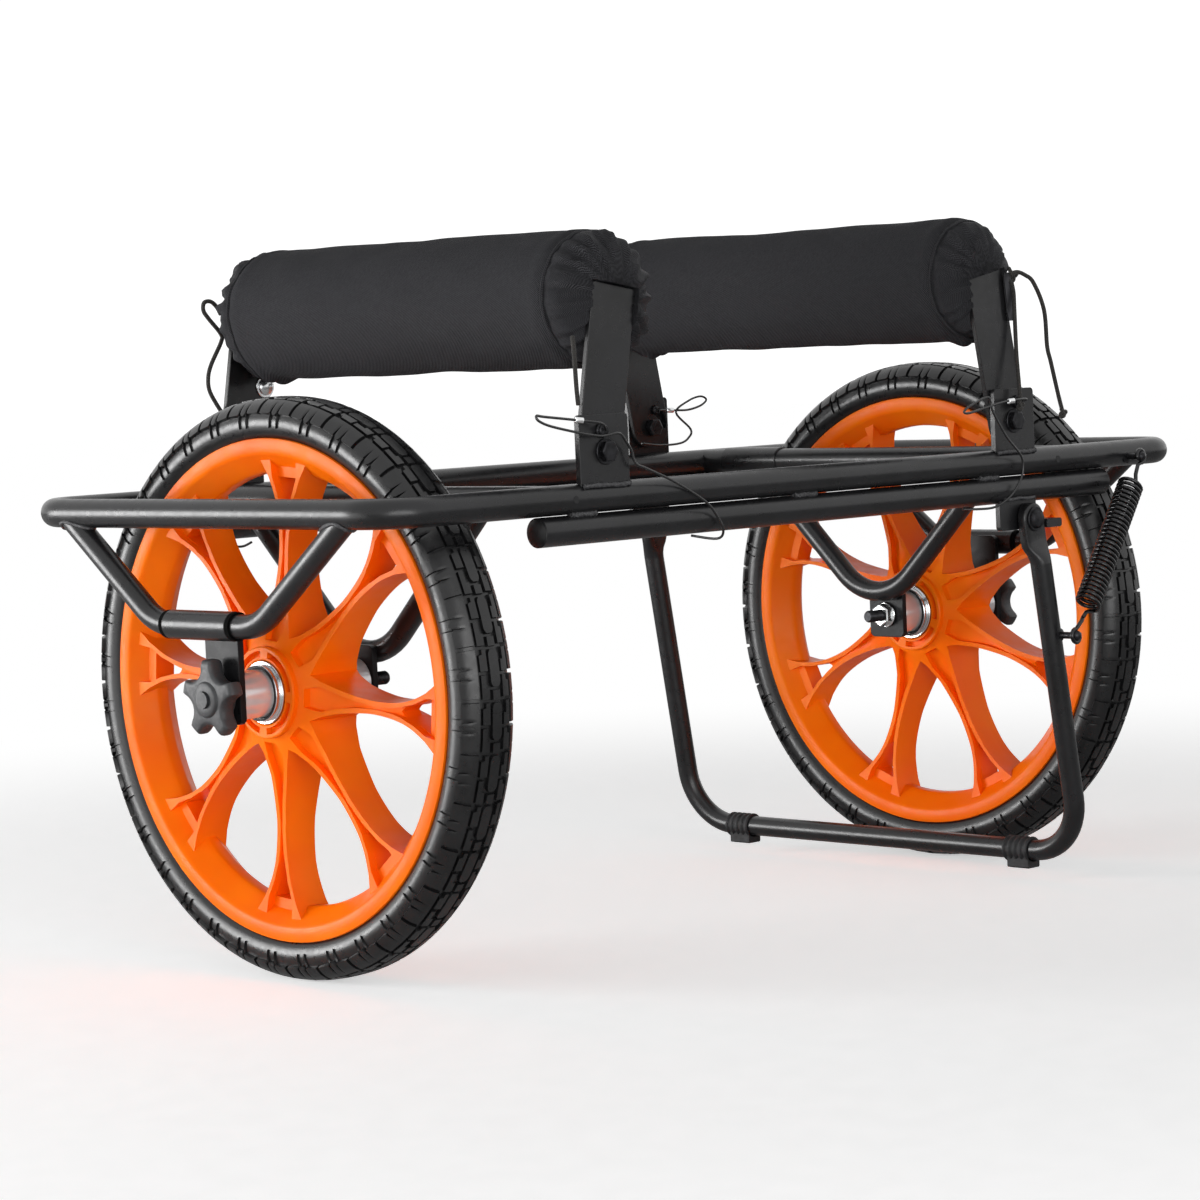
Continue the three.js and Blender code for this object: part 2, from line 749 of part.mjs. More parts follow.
// An arm in its own frame: the pivot is the origin and z runs up the arm. The slot is the lock pin's path.
function makeCradleArm(cradle, end, screw) {
  const half = armWidth / 2;
  const outline = new THREE.Shape();
  outline.moveTo(-half, armLength);
  outline.lineTo(-half, 0);
  outline.absarc(-half + armFoot, 0, armFoot, Math.PI, 1.5 * Math.PI);
  outline.lineTo(half - armFoot, -armFoot);
  outline.absarc(half - armFoot, 0, armFoot, 1.5 * Math.PI, 2 * Math.PI);
  outline.lineTo(half, armLength);
  const near = end * (armInnerFace - overrun);
  const far = end * (armOuterFace + overrun);
  const bar = solid(slab("y", outline, end * armInnerFace, end * armOuterFace));
  const slotRadius = Math.hypot(pinOut, pinUp);
  const restAngle = Math.atan2(pinUp, cradle.side * pinOut) - cradle.side * radians(cradle.lean);
  const slotHalf = pinRadius + slotClearance;
  const arc = (radius, share) => {
    const angle = restAngle - cradle.side * share * radians(cradleSwing);
    return new THREE.Vector2(radius * Math.cos(angle), radius * Math.sin(angle));
  };
  const slotPoints = [];
  for (let i = 0; i <= slotSteps; i++) slotPoints.push(arc(slotRadius + slotHalf, i / slotSteps));
  for (let i = slotSteps; i >= 0; i--) slotPoints.push(arc(slotRadius - slotHalf, i / slotSteps));
  const slotEnds = [0, 1].map((share) => {
    const place = arc(slotRadius, share);
    return solid(rod("y", slotHalf, near, far).translate(place.x, 0, place.y));
  });
  const slot = solid(slab("y", new THREE.Shape(slotPoints), near, far));
  const arm = cut(bar, boltHole(pivotRadius, 0, 0, near, far), slot, ...slotEnds);
  if (!screw) return arm;
  const headFace = armInnerFace - padScrewThickness;
  const head = rod("y", padScrewRadius, end * headFace, end * armOuterFace, hexSides);
  return join(arm, solid(head.translate(padScrewAcross, 0, padScrewAlong)));
}

// A bolster along y with gathered ends, slotted for the arms that carry it
function makePad(cradle) {
  const half = padShares.map(([along, radius]) => [along * padHalfLength, radius * cradle.padRadius]);
  const front = half
    .slice(1)
    .reverse()
    .map(([along, radius]) => [-along, radius]);
  const profile = [[-padHalfLength, 0], ...front, ...half, [padHalfLength, 0]];
  const points = profile.map(([along, radius]) => new THREE.Vector2(radius, along));
  const form = new THREE.LatheGeometry(points, padSegments);
  const place = form.getAttribute("position");
  const gatherStart = gatherStartShare * padHalfLength;
  for (let i = 0; i < place.count; i++) {
    const depth = Math.max(0, Math.abs(place.getY(i)) - gatherStart) / (padHalfLength - gatherStart);
    const angle = Math.atan2(place.getZ(i), place.getX(i));
    const radius = Math.hypot(place.getX(i), place.getZ(i));
    const fold = gatherDepth * Math.sqrt(depth) * Math.cos((angle * padSegments) / 2);
    const scale = radius > gatherDepth ? 1 + fold / radius : 1;
    place.setX(i, place.getX(i) * scale);
    place.setZ(i, place.getZ(i) * scale);
  }
  const bolster = solid(form.translate(cradle.padShift, 0, cradle.padLift));
  const top = armLength + seatGap;
  const bottom = cradle.padLift - cradle.padRadius - overrun;
  const inside = armInnerFace - seatGap;
  const depth = padHalfLength + overrun - inside;
  const size = [armWidth + 2 * seatGap, depth, top - bottom];
  const slots = [-1, 1].map((end) =>
    solid(block(size, [0, end * (inside + depth / 2), (top + bottom) / 2])),
  );
  return cut(bolster, ...slots);
}

const standPlateOuter = frameHalfWidth + lowerTubeRadius - standPlateInset;
const standEndNear = standPlateOuter + seatGap;
const standEndFar = standEndNear + standEndThickness;

// The stand in its own frame: the hinge is y through the origin and the legs run down
function standPath() {
  const corners = [
    [-standHalfWidth, -standTubeTop],
    [-standHalfWidth, -standDrop],
    [standHalfWidth, -standDrop],
    [standHalfWidth, -standTubeTop],
  ].map(([y, z]) => new THREE.Vector3(0, y, z));
  return bentPath(corners, standBend, bendSteps);
}

function makeStandTube() {
  const eyes = [-1, 1].map((end) => {
    const outline = new THREE.Shape();
    outline.moveTo(-standEndHalfWidth, -standEndLength);
    outline.lineTo(standEndHalfWidth, -standEndLength);
    outline.absarc(0, 0, standEndHalfWidth, 0, Math.PI);
    return cut(
      solid(slab("y", outline, end * standEndNear, end * standEndFar)),
      boltHole(standBoltRadius, 0, 0, end * (standEndNear - overrun), end * (standEndFar + overrun)),
    );
  });
  const stud = ballStud(standStudY, -standHalfWidth).translate([standStudAcross, 0, -standStudAlong]);
  return join(solid(sweep(standPath(), standRadius, trussSides)), ...eyes, stud);
}

function makeFoot(centre) {
  const ribPitch = footLength / (2 * footRibs - 1);
  const profile = [[-footLength / 2, 0]];
  for (let band = 0; band < 2 * footRibs - 1; band++) {
    const radius = band % 2 ? footGrooveRadius : footRibRadius;
    profile.push([-footLength / 2 + band * ribPitch, radius]);
    profile.push([-footLength / 2 + (band + 1) * ribPitch, radius]);
  }
  profile.push([footLength / 2, 0]);
  const points = profile.map(([along, radius]) => new THREE.Vector2(radius, along));
  const ribs = solid(new THREE.LatheGeometry(points, boltSides).translate(0, centre, -standDrop));
  const blockCentre = centre - (footLength - footBlockLength) / 2;
  const base = block([2 * footBlockHalfWidth, footBlockLength, footBlockDrop], [0, blockCentre, -footBlockDrop / 2]);
  base.rotateY(radians(standLean)).translate(0, 0, -standDrop);
  return cut(join(ribs, solid(base)), solid(sweep(standPath(), standRadius + seatGap, trussSides)));
}

// The bracket's stop stands just outboard of the leg at rest, clear of the eye's leaning edge
function makeStandBracket(end) {
  const lowest = standPlateBottom - standHingeHeight;
  const lean = radians(standLean);
  const stopNear = standHingeX + (standEndHalfWidth + seatGap - lowest * Math.sin(lean)) / Math.cos(lean);
  const stopFar = stopNear + standStopLength;
  const inner = end * (standPlateOuter - standPlateThickness);
  const outer = end * standPlateOuter;
  const plate = roundedRectangle(
    standPlateLeft,
    standPlateBottom,
    standPlateRight,
    standPlateTop,
    bracketCorner,
  );
  const stopTop = standPlateBottom + standStopThickness;
  const armNear = standPlateRight - plateCorner;
  const arm = roundedRectangle(armNear, standPlateBottom, stopFar, stopTop, bracketCorner);
  const stop = roundedRectangle(stopNear, standPlateBottom, stopFar, stopTop, bracketCorner);
  const hole = boltHole(
    standBoltRadius,
    standHingeX,
    standHingeHeight,
    end * (standPlateOuter - standPlateThickness - overrun),
    end * (standPlateOuter + overrun),
  );
  return cut(
    join(solid(slab("y", plate, inner, outer)), solid(slab("y", arm, inner, outer))),
    hole,
    lowerTube(end, seatGap),
  ).add(solid(slab("y", stop, inner, end * standEndFar)));
}

function makeStandBolt(end) {
  const headFace = standEndFar + seatGap;
  const headFar = headFace + standBoltHeadThickness;
  const nutFace = standPlateOuter - standPlateThickness - seatGap;
  const nutFar = nutFace - standNutThickness;
  const shank = rod("y", standBoltRadius, end * nutFar, end * headFace);
  const head = rod("y", standBoltHeadRadius, end * headFace, end * headFar, hexSides);
  const nut = rod("y", standBoltHeadRadius, end * nutFar, end * nutFace, hexSides);
  return join(solid(shank), solid(head), solid(nut)).translate([standHingeX, 0, standHingeHeight]);
}

// The spring's wire: straight off the rail stud, out to the curls, round them and back to the middle
function springPoints() {
  const curl = springOuterRadius - springWireRadius;
  const wire = 2 * springWireRadius;
  const start = studBallRadius + seatGap;
  const points = [new THREE.Vector3(0, 0, -start), new THREE.Vector3(0, 0, -start - wire)];
  points.push(new THREE.Vector3(curl / 2, 0, (-start - wire - springStart) / 2));
  const steps = springCurls * curlSteps;
  for (let i = 0; i <= steps; i++) {
    const angle = (2 * Math.PI * i) / curlSteps;
    const along = springStart + (springLength * i) / steps;
    points.push(new THREE.Vector3(curl * Math.cos(angle), curl * Math.sin(angle), -along));
  }
  const end = springEnd();
  points.push(new THREE.Vector3(curl / 2, 0, -(springStart + springLength + end - wire) / 2));
  points.push(new THREE.Vector3(0, 0, -end + wire), new THREE.Vector3(0, 0, -end));
  return points;
}

// The least gap between two curls side by side, measured between the points that lie in line
function leastCurlGap(points) {
  let least = Infinity;
  for (let i = 0; i < points.length; i++) {
    for (let j = i + curlSteps / 2; j < points.length; j++) {
      least = Math.min(least, points[i].distanceTo(points[j]) - 2 * springWireRadius);
    }
  }
  return least;
}

const railStud = new THREE.Vector3(railStudX, railStudY, frameHeight - railStudDrop);

const standStud = new THREE.Vector3(standStudAcross, standStudY, -standStudAlong)
  .applyAxisAngle(new THREE.Vector3(0, 1, 0), -radians(standLean))
  .add(new THREE.Vector3(standHingeX, 0, standHingeHeight));

function springEnd() {
  return railStud.distanceTo(standStud) - studBallRadius - 2 * seatGap - springHookLength;
}

function makeSpringHook() {
  const start = springEnd() + seatGap;
  const points = [new THREE.Vector3(0, 0, -start), new THREE.Vector3(0, 0, -start - springHookLength)];
  return solid(sweep(points, springWireRadius, wireSides));
}

// Free cords: each route is chosen by hand
const lanyardRoutes = {
  lanyard_left_front: [
    [-226.8, -199.5, 368.7],
    [-233, -202, 373.5],
    [-248, -200, 376],
    [-280, -197, 380],
    [-288, -197.2, 381],
    [-286.5, -198.5, 377.2],
    [-272, -199, 372.5],
    [-236, -201, 365.5],
    [-219, -203, 366.5],
    [-210, -200.5, 361],
    [-203.5, -199, 354],
    [-200, -199, 345.5],
    [-190, -199, 341.5],
    [-163.4, -199.2, 331],
    [-136, -200, 316.5],
    [-125, -200, 306.5],
    [-118, -199.5, 295.5],
    [-119.5, -195, 289.5],
    [-134, -184, 292.5],
  ],
  lanyard_right_front: [
    [211.5, -199.4, 369.5],
    [210.5, -203.4, 371.5],
    [182.8, -204.5, 370.2],
    [143, -204.5, 363.8],
    [140, -204.4, 367],
    [163.5, -204.3, 374.4],
    [168.3, -204.6, 371],
    [170.5, -204.6, 363.5],
    [185.6, -204, 345],
    [204.2, -202.2, 329.9],
    [207.3, -201.6, 320.8],
    [205, -201.2, 312.7],
    [197, -201, 303.5],
    [187, -200.5, 297],
    [177, -197.5, 292.6],
    [166, -192, 291.9],
    [156, -184, 292.4],
  ],
  lanyard_right_back: [
    [211.5, 180, 369.5],
    [229, 176, 368.6],
    [241, 174, 368.6],
    [253, 172, 371.5],
    [259.5, 171.5, 376],
    [253, 172, 379],
    [240, 173, 376],
    [226, 174.5, 367],
    [240, 172, 352.5],
    [237, 172, 345.5],
    [226.9, 172.3, 341.5],
    [205.3, 174, 341],
    [186, 176, 343.5],
  ],
  lanyard_left_back: [
    [-226.8, 199.5, 368.7],
    [-231, 201.5, 364],
    [-235, 201, 350],
    [-236, 200, 335],
    [-234, 200, 305],
    [-231.5, 198.5, 294],
    [-228.5, 194, 288.5],
    [-225, 188, 288],
    [-222, 181.5, 291],
  ],
};
const drawcordRoutes = {
  drawcord_left_back: [
    [-231.5, 192.8, 459],
    [-235, 193, 465],
    [-240.5, 193, 469],
    [-246.5, 193, 468.3],
    [-247.5, 193, 462.5],
    [-243, 193, 456.5],
    [-232.3, 193, 445],
    [-232.5, 193, 439],
    [-243.5, 192, 423],
    [-247.8, 191, 413],
    [-247, 190.5, 402.5],
    [-238.5, 189.3, 388],
  ],
  drawcord_left_front: [
    [-239.3, -184, 432],
    [-240.5, -186, 422],
    [-241, -187.5, 398],
    [-240, -187.5, 386],
  ],
  drawcord_right_outer: [
    [209, -194, 464],
    [214, -196.5, 466],
    [220, -199.5, 463.5],
    [226, -202.5, 457.5],
    [233, -206, 437],
    [236.5, -205, 410],
    [241.5, -204, 398],
    [252, -201.5, 374],
    [258.5, -200.5, 359],
  ],
  drawcord_right_inner: [
    [210.5, -194, 459],
    [212.8, -193.8, 451],
    [213.6, -193.4, 440],
    [212, -195, 414],
    [210.5, -196.6, 401],
    [207.8, -200.3, 378],
    [207.2, -201, 366.5],
  ],
};

function makeCord(route, radius) {
  const points = route.map((place) => new THREE.Vector3(...place));
  return solid(sweep(points, radius, cordSides));
}

const cradles = [
  {
    name: "left",
    side: -1,
    pivotX: leftPivotX,
    pivotHeight: leftPivotHeight,
    lean: leftLean,
    padRadius: leftPadRadius,
    padLift: leftPadLift,
    padShift: leftPadShift,
  },
  {
    name: "right",
    side: 1,
    pivotX: rightPivotX,
    pivotHeight: rightPivotHeight,
    lean: rightLean,
    padRadius: rightPadRadius,
    padLift: rightPadLift,
    padShift: -rightPadShift,
  },
];
const ends = [
  ["front", -1],
  ["back", 1],
];
const sides = [
  ["left", -1, leftArmAngle, leftKnobTurn],
  ["right", 1, rightArmAngle, rightKnobTurn],
];

const cart = new THREE.Group();
const frame = new THREE.Group();
cart.add(frame);
addPiece(frame, "frame_loop", makeFrameLoop(), finishes.frameCoat);
for (const [name, side, armAngle, knobTurn] of sides) {
  const plateTop = outerTrussBottom + plateAboveTruss;
  const innerTop = innerTrussLowest + plateAboveTruss;
  addPiece(frame, `cross_rail_${name}`, makeCrossRail(side), finishes.frameCoat);
  addPiece(frame, `truss_${name}_outer`, makeOuterTruss(side), finishes.frameCoat);
  addPiece(frame, `truss_${name}_inner`, makeInnerTruss(side), finishes.frameCoat);
  const outerPlate = makeAxlePlate(side, outerPlateNear, outerPlateFar, plateTop);
  const innerPlate = makeAxlePlate(side, innerPlateNear, innerPlateFar, innerTop);
  addPiece(frame, `axle_plate_${name}_outer`, outerPlate, finishes.frameCoat);
  addPiece(frame, `axle_plate_${name}_inner`, innerPlate, finishes.frameCoat);
  addPiece(frame, `axle_bolt_${name}`, makeAxle(side), finishes.brightSteel);
  addPiece(frame, `axle_spacer_${name}`, makeSpacer(side), finishes.brightSteel);

  const wheel = new THREE.Group();
  wheel.position.set(side * wheelTrack, 0, axleHeight);
  wheel.rotation.y = Math.PI / 2;
  cart.add(wheel);
  addPiece(wheel, `tyre_${name}`, makeTyre(), finishes.tyreRubber);
  addPiece(wheel, `rim_${name}`, makeRim(armAngle), finishes.orangePlastic);
  addPiece(wheel, `hub_sleeve_${name}`, makeHubSleeve(), finishes.brightSteel);

  const knob = new THREE.Group();
  knob.position.set(side * knobNear, 0, axleHeight);
  knob.rotation.y = (side * Math.PI) / 2;
  cart.add(knob);
  addPiece(knob, `knob_${name}`, makeKnob(knobTurn), finishes.knobPlastic);
}

for (const [name, end] of ends) {
  addPiece(frame, `lower_tube_${name}`, lowerTube(end, 0), finishes.frameCoat);
  addPiece(frame, `stand_bracket_${name}`, makeStandBracket(end), finishes.frameCoat);
  addPiece(frame, `stand_bolt_${name}`, makeStandBolt(end), finishes.blackSteel);
}

for (const cradle of cradles) {
  const swing = new THREE.Group();
  swing.position.set(cradle.pivotX, 0, cradle.pivotHeight);
  swing.rotation.y = -cradle.side * radians(cradle.lean);
  cart.add(swing);
  for (const [name, end] of ends) {
    const screw = cradle.side < 0 && end > 0;
    addPiece(frame, `arm_bracket_${cradle.name}_${name}`, makeArmBracket(cradle, end), finishes.frameCoat);
    addPiece(frame, `pivot_bolt_${cradle.name}_${name}`, makePivotBolt(cradle, end), finishes.blackSteel);
    addPiece(frame, `lock_pin_${cradle.name}_${name}`, makeLockPin(cradle, end), finishes.blackSteel);
    addPiece(swing, `arm_${cradle.name}_${name}`, makeCradleArm(cradle, end, screw), finishes.frameCoat);
  }
  addPiece(swing, `pad_${cradle.name}`, makePad(cradle), finishes.padFabric);
}

const stand = new THREE.Group();
stand.position.set(standHingeX, 0, standHingeHeight);
stand.rotation.y = -radians(standLean);
cart.add(stand);
addPiece(stand, "stand_tube", makeStandTube(), finishes.frameCoat);
addPiece(stand, "stand_foot_front", makeFoot(frontFootCentre), finishes.footRubber);
addPiece(stand, "stand_foot_back", makeFoot(backFootCentre), finishes.footRubber);

const springLine = standStud.clone().sub(railStud).normalize();
const spring = new THREE.Group();
spring.position.copy(railStud);
spring.quaternion.setFromUnitVectors(new THREE.Vector3(0, 0, -1), springLine);
cart.add(spring);
const springCoil = solid(sweep(springPoints(), springWireRadius, wireSides));
addPiece(spring, "stand_spring", springCoil, finishes.blackSteel);
addPiece(spring, "spring_hook", makeSpringHook(), finishes.blackSteel);
console.log("least gap between the spring's curls", leastCurlGap(springPoints()).toFixed(2), "mm");

// The origin is the ground under the middle of the cart, cords left out
cart.updateMatrixWorld(true);
const extent = new THREE.Box3().setFromObject(cart);
for (const [name, route] of Object.entries(lanyardRoutes)) {
  addPiece(frame, name, makeCord(route, lanyardRadius), finishes.cordWeave);
}
for (const [name, route] of Object.entries(drawcordRoutes)) {
  addPiece(frame, name, makeCord(route, drawcordRadius), finishes.cordWeave);
}
const middle = extent.getCenter(new THREE.Vector3());
cart.position.set(-middle.x, -middle.y, -extent.min.z);
console.log("cart moved by", cart.position.toArray().map((length) => length.toFixed(3)).join(", "));

export default cart;
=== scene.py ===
import math

import bmesh
import bpy
from mathutils import Matrix, Vector, noise
from mathutils.bvhtree import BVHTree


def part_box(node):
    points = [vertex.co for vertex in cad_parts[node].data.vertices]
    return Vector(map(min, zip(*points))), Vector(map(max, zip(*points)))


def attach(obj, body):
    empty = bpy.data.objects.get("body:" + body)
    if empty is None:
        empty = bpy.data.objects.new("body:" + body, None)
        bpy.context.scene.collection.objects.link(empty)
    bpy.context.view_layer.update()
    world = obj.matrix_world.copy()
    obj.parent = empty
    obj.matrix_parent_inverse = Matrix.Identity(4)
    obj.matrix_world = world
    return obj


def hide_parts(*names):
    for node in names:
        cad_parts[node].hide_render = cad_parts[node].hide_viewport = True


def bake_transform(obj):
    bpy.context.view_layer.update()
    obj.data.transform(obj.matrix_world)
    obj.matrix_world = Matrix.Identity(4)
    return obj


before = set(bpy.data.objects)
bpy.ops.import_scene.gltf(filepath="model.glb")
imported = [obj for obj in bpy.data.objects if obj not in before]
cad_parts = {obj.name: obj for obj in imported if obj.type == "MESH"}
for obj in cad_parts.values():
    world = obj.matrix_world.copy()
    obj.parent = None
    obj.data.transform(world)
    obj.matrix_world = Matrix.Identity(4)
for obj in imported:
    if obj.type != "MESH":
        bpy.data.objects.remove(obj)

# A kayak cart. Pieces are drawn in millimetres from the cart's middle, and at() puts them in the frame
scene = bpy.context.scene
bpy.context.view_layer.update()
mm = 0.001
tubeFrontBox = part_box("lower_tube_front")
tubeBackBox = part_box("lower_tube_back")
middleY = (tubeFrontBox[0].y + tubeBackBox[1].y) / 2
sideSigns = {"left": -1, "right": 1}
endSigns = {"front": -1, "back": 1}
toFrame = Matrix.Translation((0, middleY, 0)) @ Matrix.Scale(mm, 4)


def at(x, y, z):
    return toFrame @ Vector((x, y, z))


def inCart(point):
    return (point - Vector((0, middleY, 0))) / mm


def boxOf(node):
    low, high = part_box(node)
    return inCart(low), inCart(high)


def middleOf(node):
    low, high = boxOf(node)
    return (low + high) / 2


# Camera: level with the frame, from the left front corner
shot = {
    "place": (-1948.4, -1933.4, 427.6),
    "azimuth": -44.586,
    "elevation": 4.011,
    "roll": -2.452,
    "lens": 110.49,
}


def addCamera():
    azimuth = math.radians(shot["azimuth"])
    elevation = math.radians(shot["elevation"])
    roll = math.radians(shot["roll"])
    level = math.cos(elevation)
    back = Vector((math.sin(azimuth) * level, -math.cos(azimuth) * level, math.sin(elevation)))
    right = Vector((0, 0, 1)).cross(back).normalized()
    up = back.cross(right)
    rightRolled = right * math.cos(roll) + up * math.sin(roll)
    upRolled = up * math.cos(roll) - right * math.sin(roll)
    turn = Matrix((rightRolled, upRolled, back)).transposed().to_4x4()
    camera = bpy.data.objects.new("camera", bpy.data.cameras.new("camera"))
    camera.data.lens = shot["lens"]
    camera.data.sensor_width = 36
    camera.matrix_world = Matrix.Translation(at(*shot["place"])) @ turn
    scene.collection.objects.link(camera)
    scene.camera = camera


addCamera()


# Materials

def linear(code, alpha=1):
    parts = [int(code[i:i + 2], 16) / 255 for i in (1, 3, 5)]
    bent = [c / 12.92 if c <= 0.04045 else ((c + 0.055) / 1.055) ** 2.4 for c in parts]
    return (*bent, alpha)


def addNode(tree, kind, settings=None, links=None):
    node = tree.nodes.new(kind)
    for key, value in (settings or {}).items():
        if isinstance(key, str) and hasattr(node, key):
            setattr(node, key, value)
        else:
            node.inputs[key].default_value = value
    for key, source in (links or {}).items():
        tree.links.new(source, node.inputs[key])
    return node


def perMetre(pitch):
    return 1 / (pitch * mm)  # a pattern's scale from its pitch in millimetres


def newMaterial(name, settings):
    material = bpy.data.materials.new(name)
    material.use_nodes = True
    tree = material.node_tree
    shader = tree.nodes["Principled BSDF"]
    for key, value in settings.items():
        shader.inputs[key].default_value = value
    return material, tree, shader


def place(tree):
    return addNode(tree, "ShaderNodeTexCoord").outputs["Object"]


def grain(tree, pitch, detail=3, rough=0.5):
    return addNode(
        tree, "ShaderNodeTexNoise",
        {"Scale": perMetre(pitch), "Detail": detail, "Roughness": rough},
        {"Vector": place(tree)},
    ).outputs["Fac"]


def spread(tree, source, low, high, fromLow=0.35, fromHigh=0.65):
    return addNode(
        tree, "ShaderNodeMapRange",
        {"From Min": fromLow, "From Max": fromHigh, "To Min": low, "To Max": high},
        {"Value": source},
    ).outputs["Result"]


def tint(tree, source, dark, light, low=0.35, high=0.65):
    ramp = addNode(tree, "ShaderNodeValToRGB", None, {"Fac": source})
    stops = ramp.color_ramp.elements
    stops[0].position, stops[1].position = low, high
    stops[0].color, stops[1].color = linear(dark), linear(light)
    return ramp.outputs["Color"]


def addBump(tree, shader, height, depth, strength=1.0):
    bump = addNode(
        tree, "ShaderNodeBump",
        {"Strength": strength, "Distance": depth * mm},
        {"Height": height},
    )
    tree.links.new(bump.outputs["Normal"], shader.inputs["Normal"])


def powderCoat(name="powderCoatedSteel", gloss=0.44):
    # polyester powder coat baked on steel: satin black with a fine orange peel, duller on sheared plate
    material, tree, shader = newMaterial(name, {"IOR": 1.5, "Specular IOR Level": gloss})
    tree.links.new(tint(tree, grain(tree, 45), "#141415", "#1d1d1f"), shader.inputs["Base Color"])
    tree.links.new(spread(tree, grain(tree, 6), 0.27, 0.34), shader.inputs["Roughness"])
    addBump(tree, shader, grain(tree, 1.1, 2), 0.06, 0.5)
    return material


def weldedBead():
    # powder coat over an arc weld: the same black, rougher, with spatter
    material, tree, shader = newMaterial("coatedWeldBead", {"IOR": 1.5, "Specular IOR Level": 0.5})
    tree.links.new(tint(tree, grain(tree, 2.2), "#2a2a2c", "#4c4c4e"), shader.inputs["Base Color"])
    tree.links.new(spread(tree, grain(tree, 1.5), 0.35, 0.6), shader.inputs["Roughness"])
    addBump(tree, shader, grain(tree, 1.2, 4, 0.7), 0.5)
    return material


def orangeNylon():
    # injection moulded nylon: strong orange, soft wide gloss, faint flow marks from the gate
    material, tree, shader = newMaterial(
        "mouldedOrangeNylon",
        {
            "IOR": 1.53, "Specular IOR Level": 0.1, "Subsurface Weight": 0.15,
            "Subsurface Scale": 0.004, "Subsurface Radius": (1.0, 0.35, 0.08),
        },
    )
    tree.links.new(tint(tree, grain(tree, 60, 2), "#fb6a02", "#ff7806"), shader.inputs["Base Color"])
    tree.links.new(spread(tree, grain(tree, 9), 0.3, 0.42), shader.inputs["Roughness"])
    addBump(tree, shader, grain(tree, 2.2, 2), 0.05, 0.4)
    return material


def tyreRubber():
    # cured tyre rubber: deep grey black, dull on the blocks and a little waxy on the side wall
    material, tree, shader = newMaterial("curedTyreRubber", {"IOR": 1.52, "Specular IOR Level": 0.46})
    tree.links.new(tint(tree, grain(tree, 18), "#101011", "#1a1a1b"), shader.inputs["Base Color"])
    tree.links.new(spread(tree, grain(tree, 5, 4), 0.27, 0.36), shader.inputs["Roughness"])
    addBump(tree, shader, grain(tree, 0.9, 3, 0.6), 0.08, 0.6)
    return material


def zincSteel(name="zincPlatedSteel", metallic=1.0):
    # turned steel with bright zinc plate: near mirror with fine turning lines and a milky cast
    material, tree, shader = newMaterial(name, {"Metallic": metallic})
    tree.links.new(tint(tree, grain(tree, 30), "#d2d4d6", "#e9eaea"), shader.inputs["Base Color"])
    tree.links.new(spread(tree, grain(tree, 12), 0.2, 0.27), shader.inputs["Roughness"])
    lines = addNode(
        tree, "ShaderNodeTexWave",
        {"wave_type": "BANDS", "bands_direction": "X", "Scale": perMetre(6), "Distortion": 0.6},
        {"Vector": place(tree)},
    )
    addBump(tree, shader, lines.outputs["Fac"], 0.01, 0.15)
    return material


def blackOxide():
    # black oxide on bolts and pins: dark, thin, with steel gleaming through on edges
    material, tree, shader = newMaterial("blackenedSteel", {"Metallic": 0.7})
    tree.links.new(tint(tree, grain(tree, 4), "#1b1b1d", "#303033"), shader.inputs["Base Color"])
    tree.links.new(spread(tree, grain(tree, 2), 0.3, 0.48), shader.inputs["Roughness"])
    addBump(tree, shader, grain(tree, 0.7, 2), 0.03, 0.4)
    return material


def springSteel():
    # oiled black spring wire: bright points where the coils face the light
    material, tree, shader = newMaterial(
        "oiledSpringWire", {"Metallic": 0.75, "Coat Weight": 0.5, "Coat Roughness": 0.12},
    )
    tree.links.new(tint(tree, grain(tree, 5), "#141415", "#242426"), shader.inputs["Base Color"])
    tree.links.new(spread(tree, grain(tree, 3), 0.2, 0.34), shader.inputs["Roughness"])
    return material


def knobPlastic():
    # glass filled nylon, moulded with a spark eroded texture: dark grey, fine and even
    material, tree, shader = newMaterial("texturedBlackNylon", {"IOR": 1.53})
    tree.links.new(tint(tree, grain(tree, 12), "#2a2b2d", "#363739"), shader.inputs["Base Color"])
    tree.links.new(spread(tree, grain(tree, 2), 0.45, 0.6), shader.inputs["Roughness"])
    addBump(tree, shader, grain(tree, 0.7, 2), 0.06, 0.7)
    return material


def footRubber():
    # moulded rubber feet: flat black, slightly dusty on the ribs
    material, tree, shader = newMaterial("mouldedFootRubber", {"IOR": 1.52, "Specular IOR Level": 0.4})
    tree.links.new(tint(tree, grain(tree, 8), "#161617", "#222224"), shader.inputs["Base Color"])
    tree.links.new(spread(tree, grain(tree, 3), 0.55, 0.7), shader.inputs["Roughness"])
    addBump(tree, shader, grain(tree, 0.9, 3), 0.08, 0.6)
    return material


def capPlastic():
    # pressed polythene tube plugs: plain black with a low gloss
    material, tree, shader = newMaterial("polythenePlug", {"IOR": 1.51, "Specular IOR Level": 0.4})
    tree.links.new(tint(tree, grain(tree, 10), "#131314", "#1b1b1c"), shader.inputs["Base Color"])
    tree.links.new(spread(tree, grain(tree, 4), 0.4, 0.55), shader.inputs["Roughness"])
    return material


def worked(tree, operation, first, second=None):
    node = addNode(tree, "ShaderNodeMath", {"operation": operation})
    for index, value in enumerate((first, second)):
        if value is None:
            continue
        if isinstance(value, (int, float)):
            node.inputs[index].default_value = value
        else:
            tree.links.new(value, node.inputs[index])
    return node.outputs["Value"]


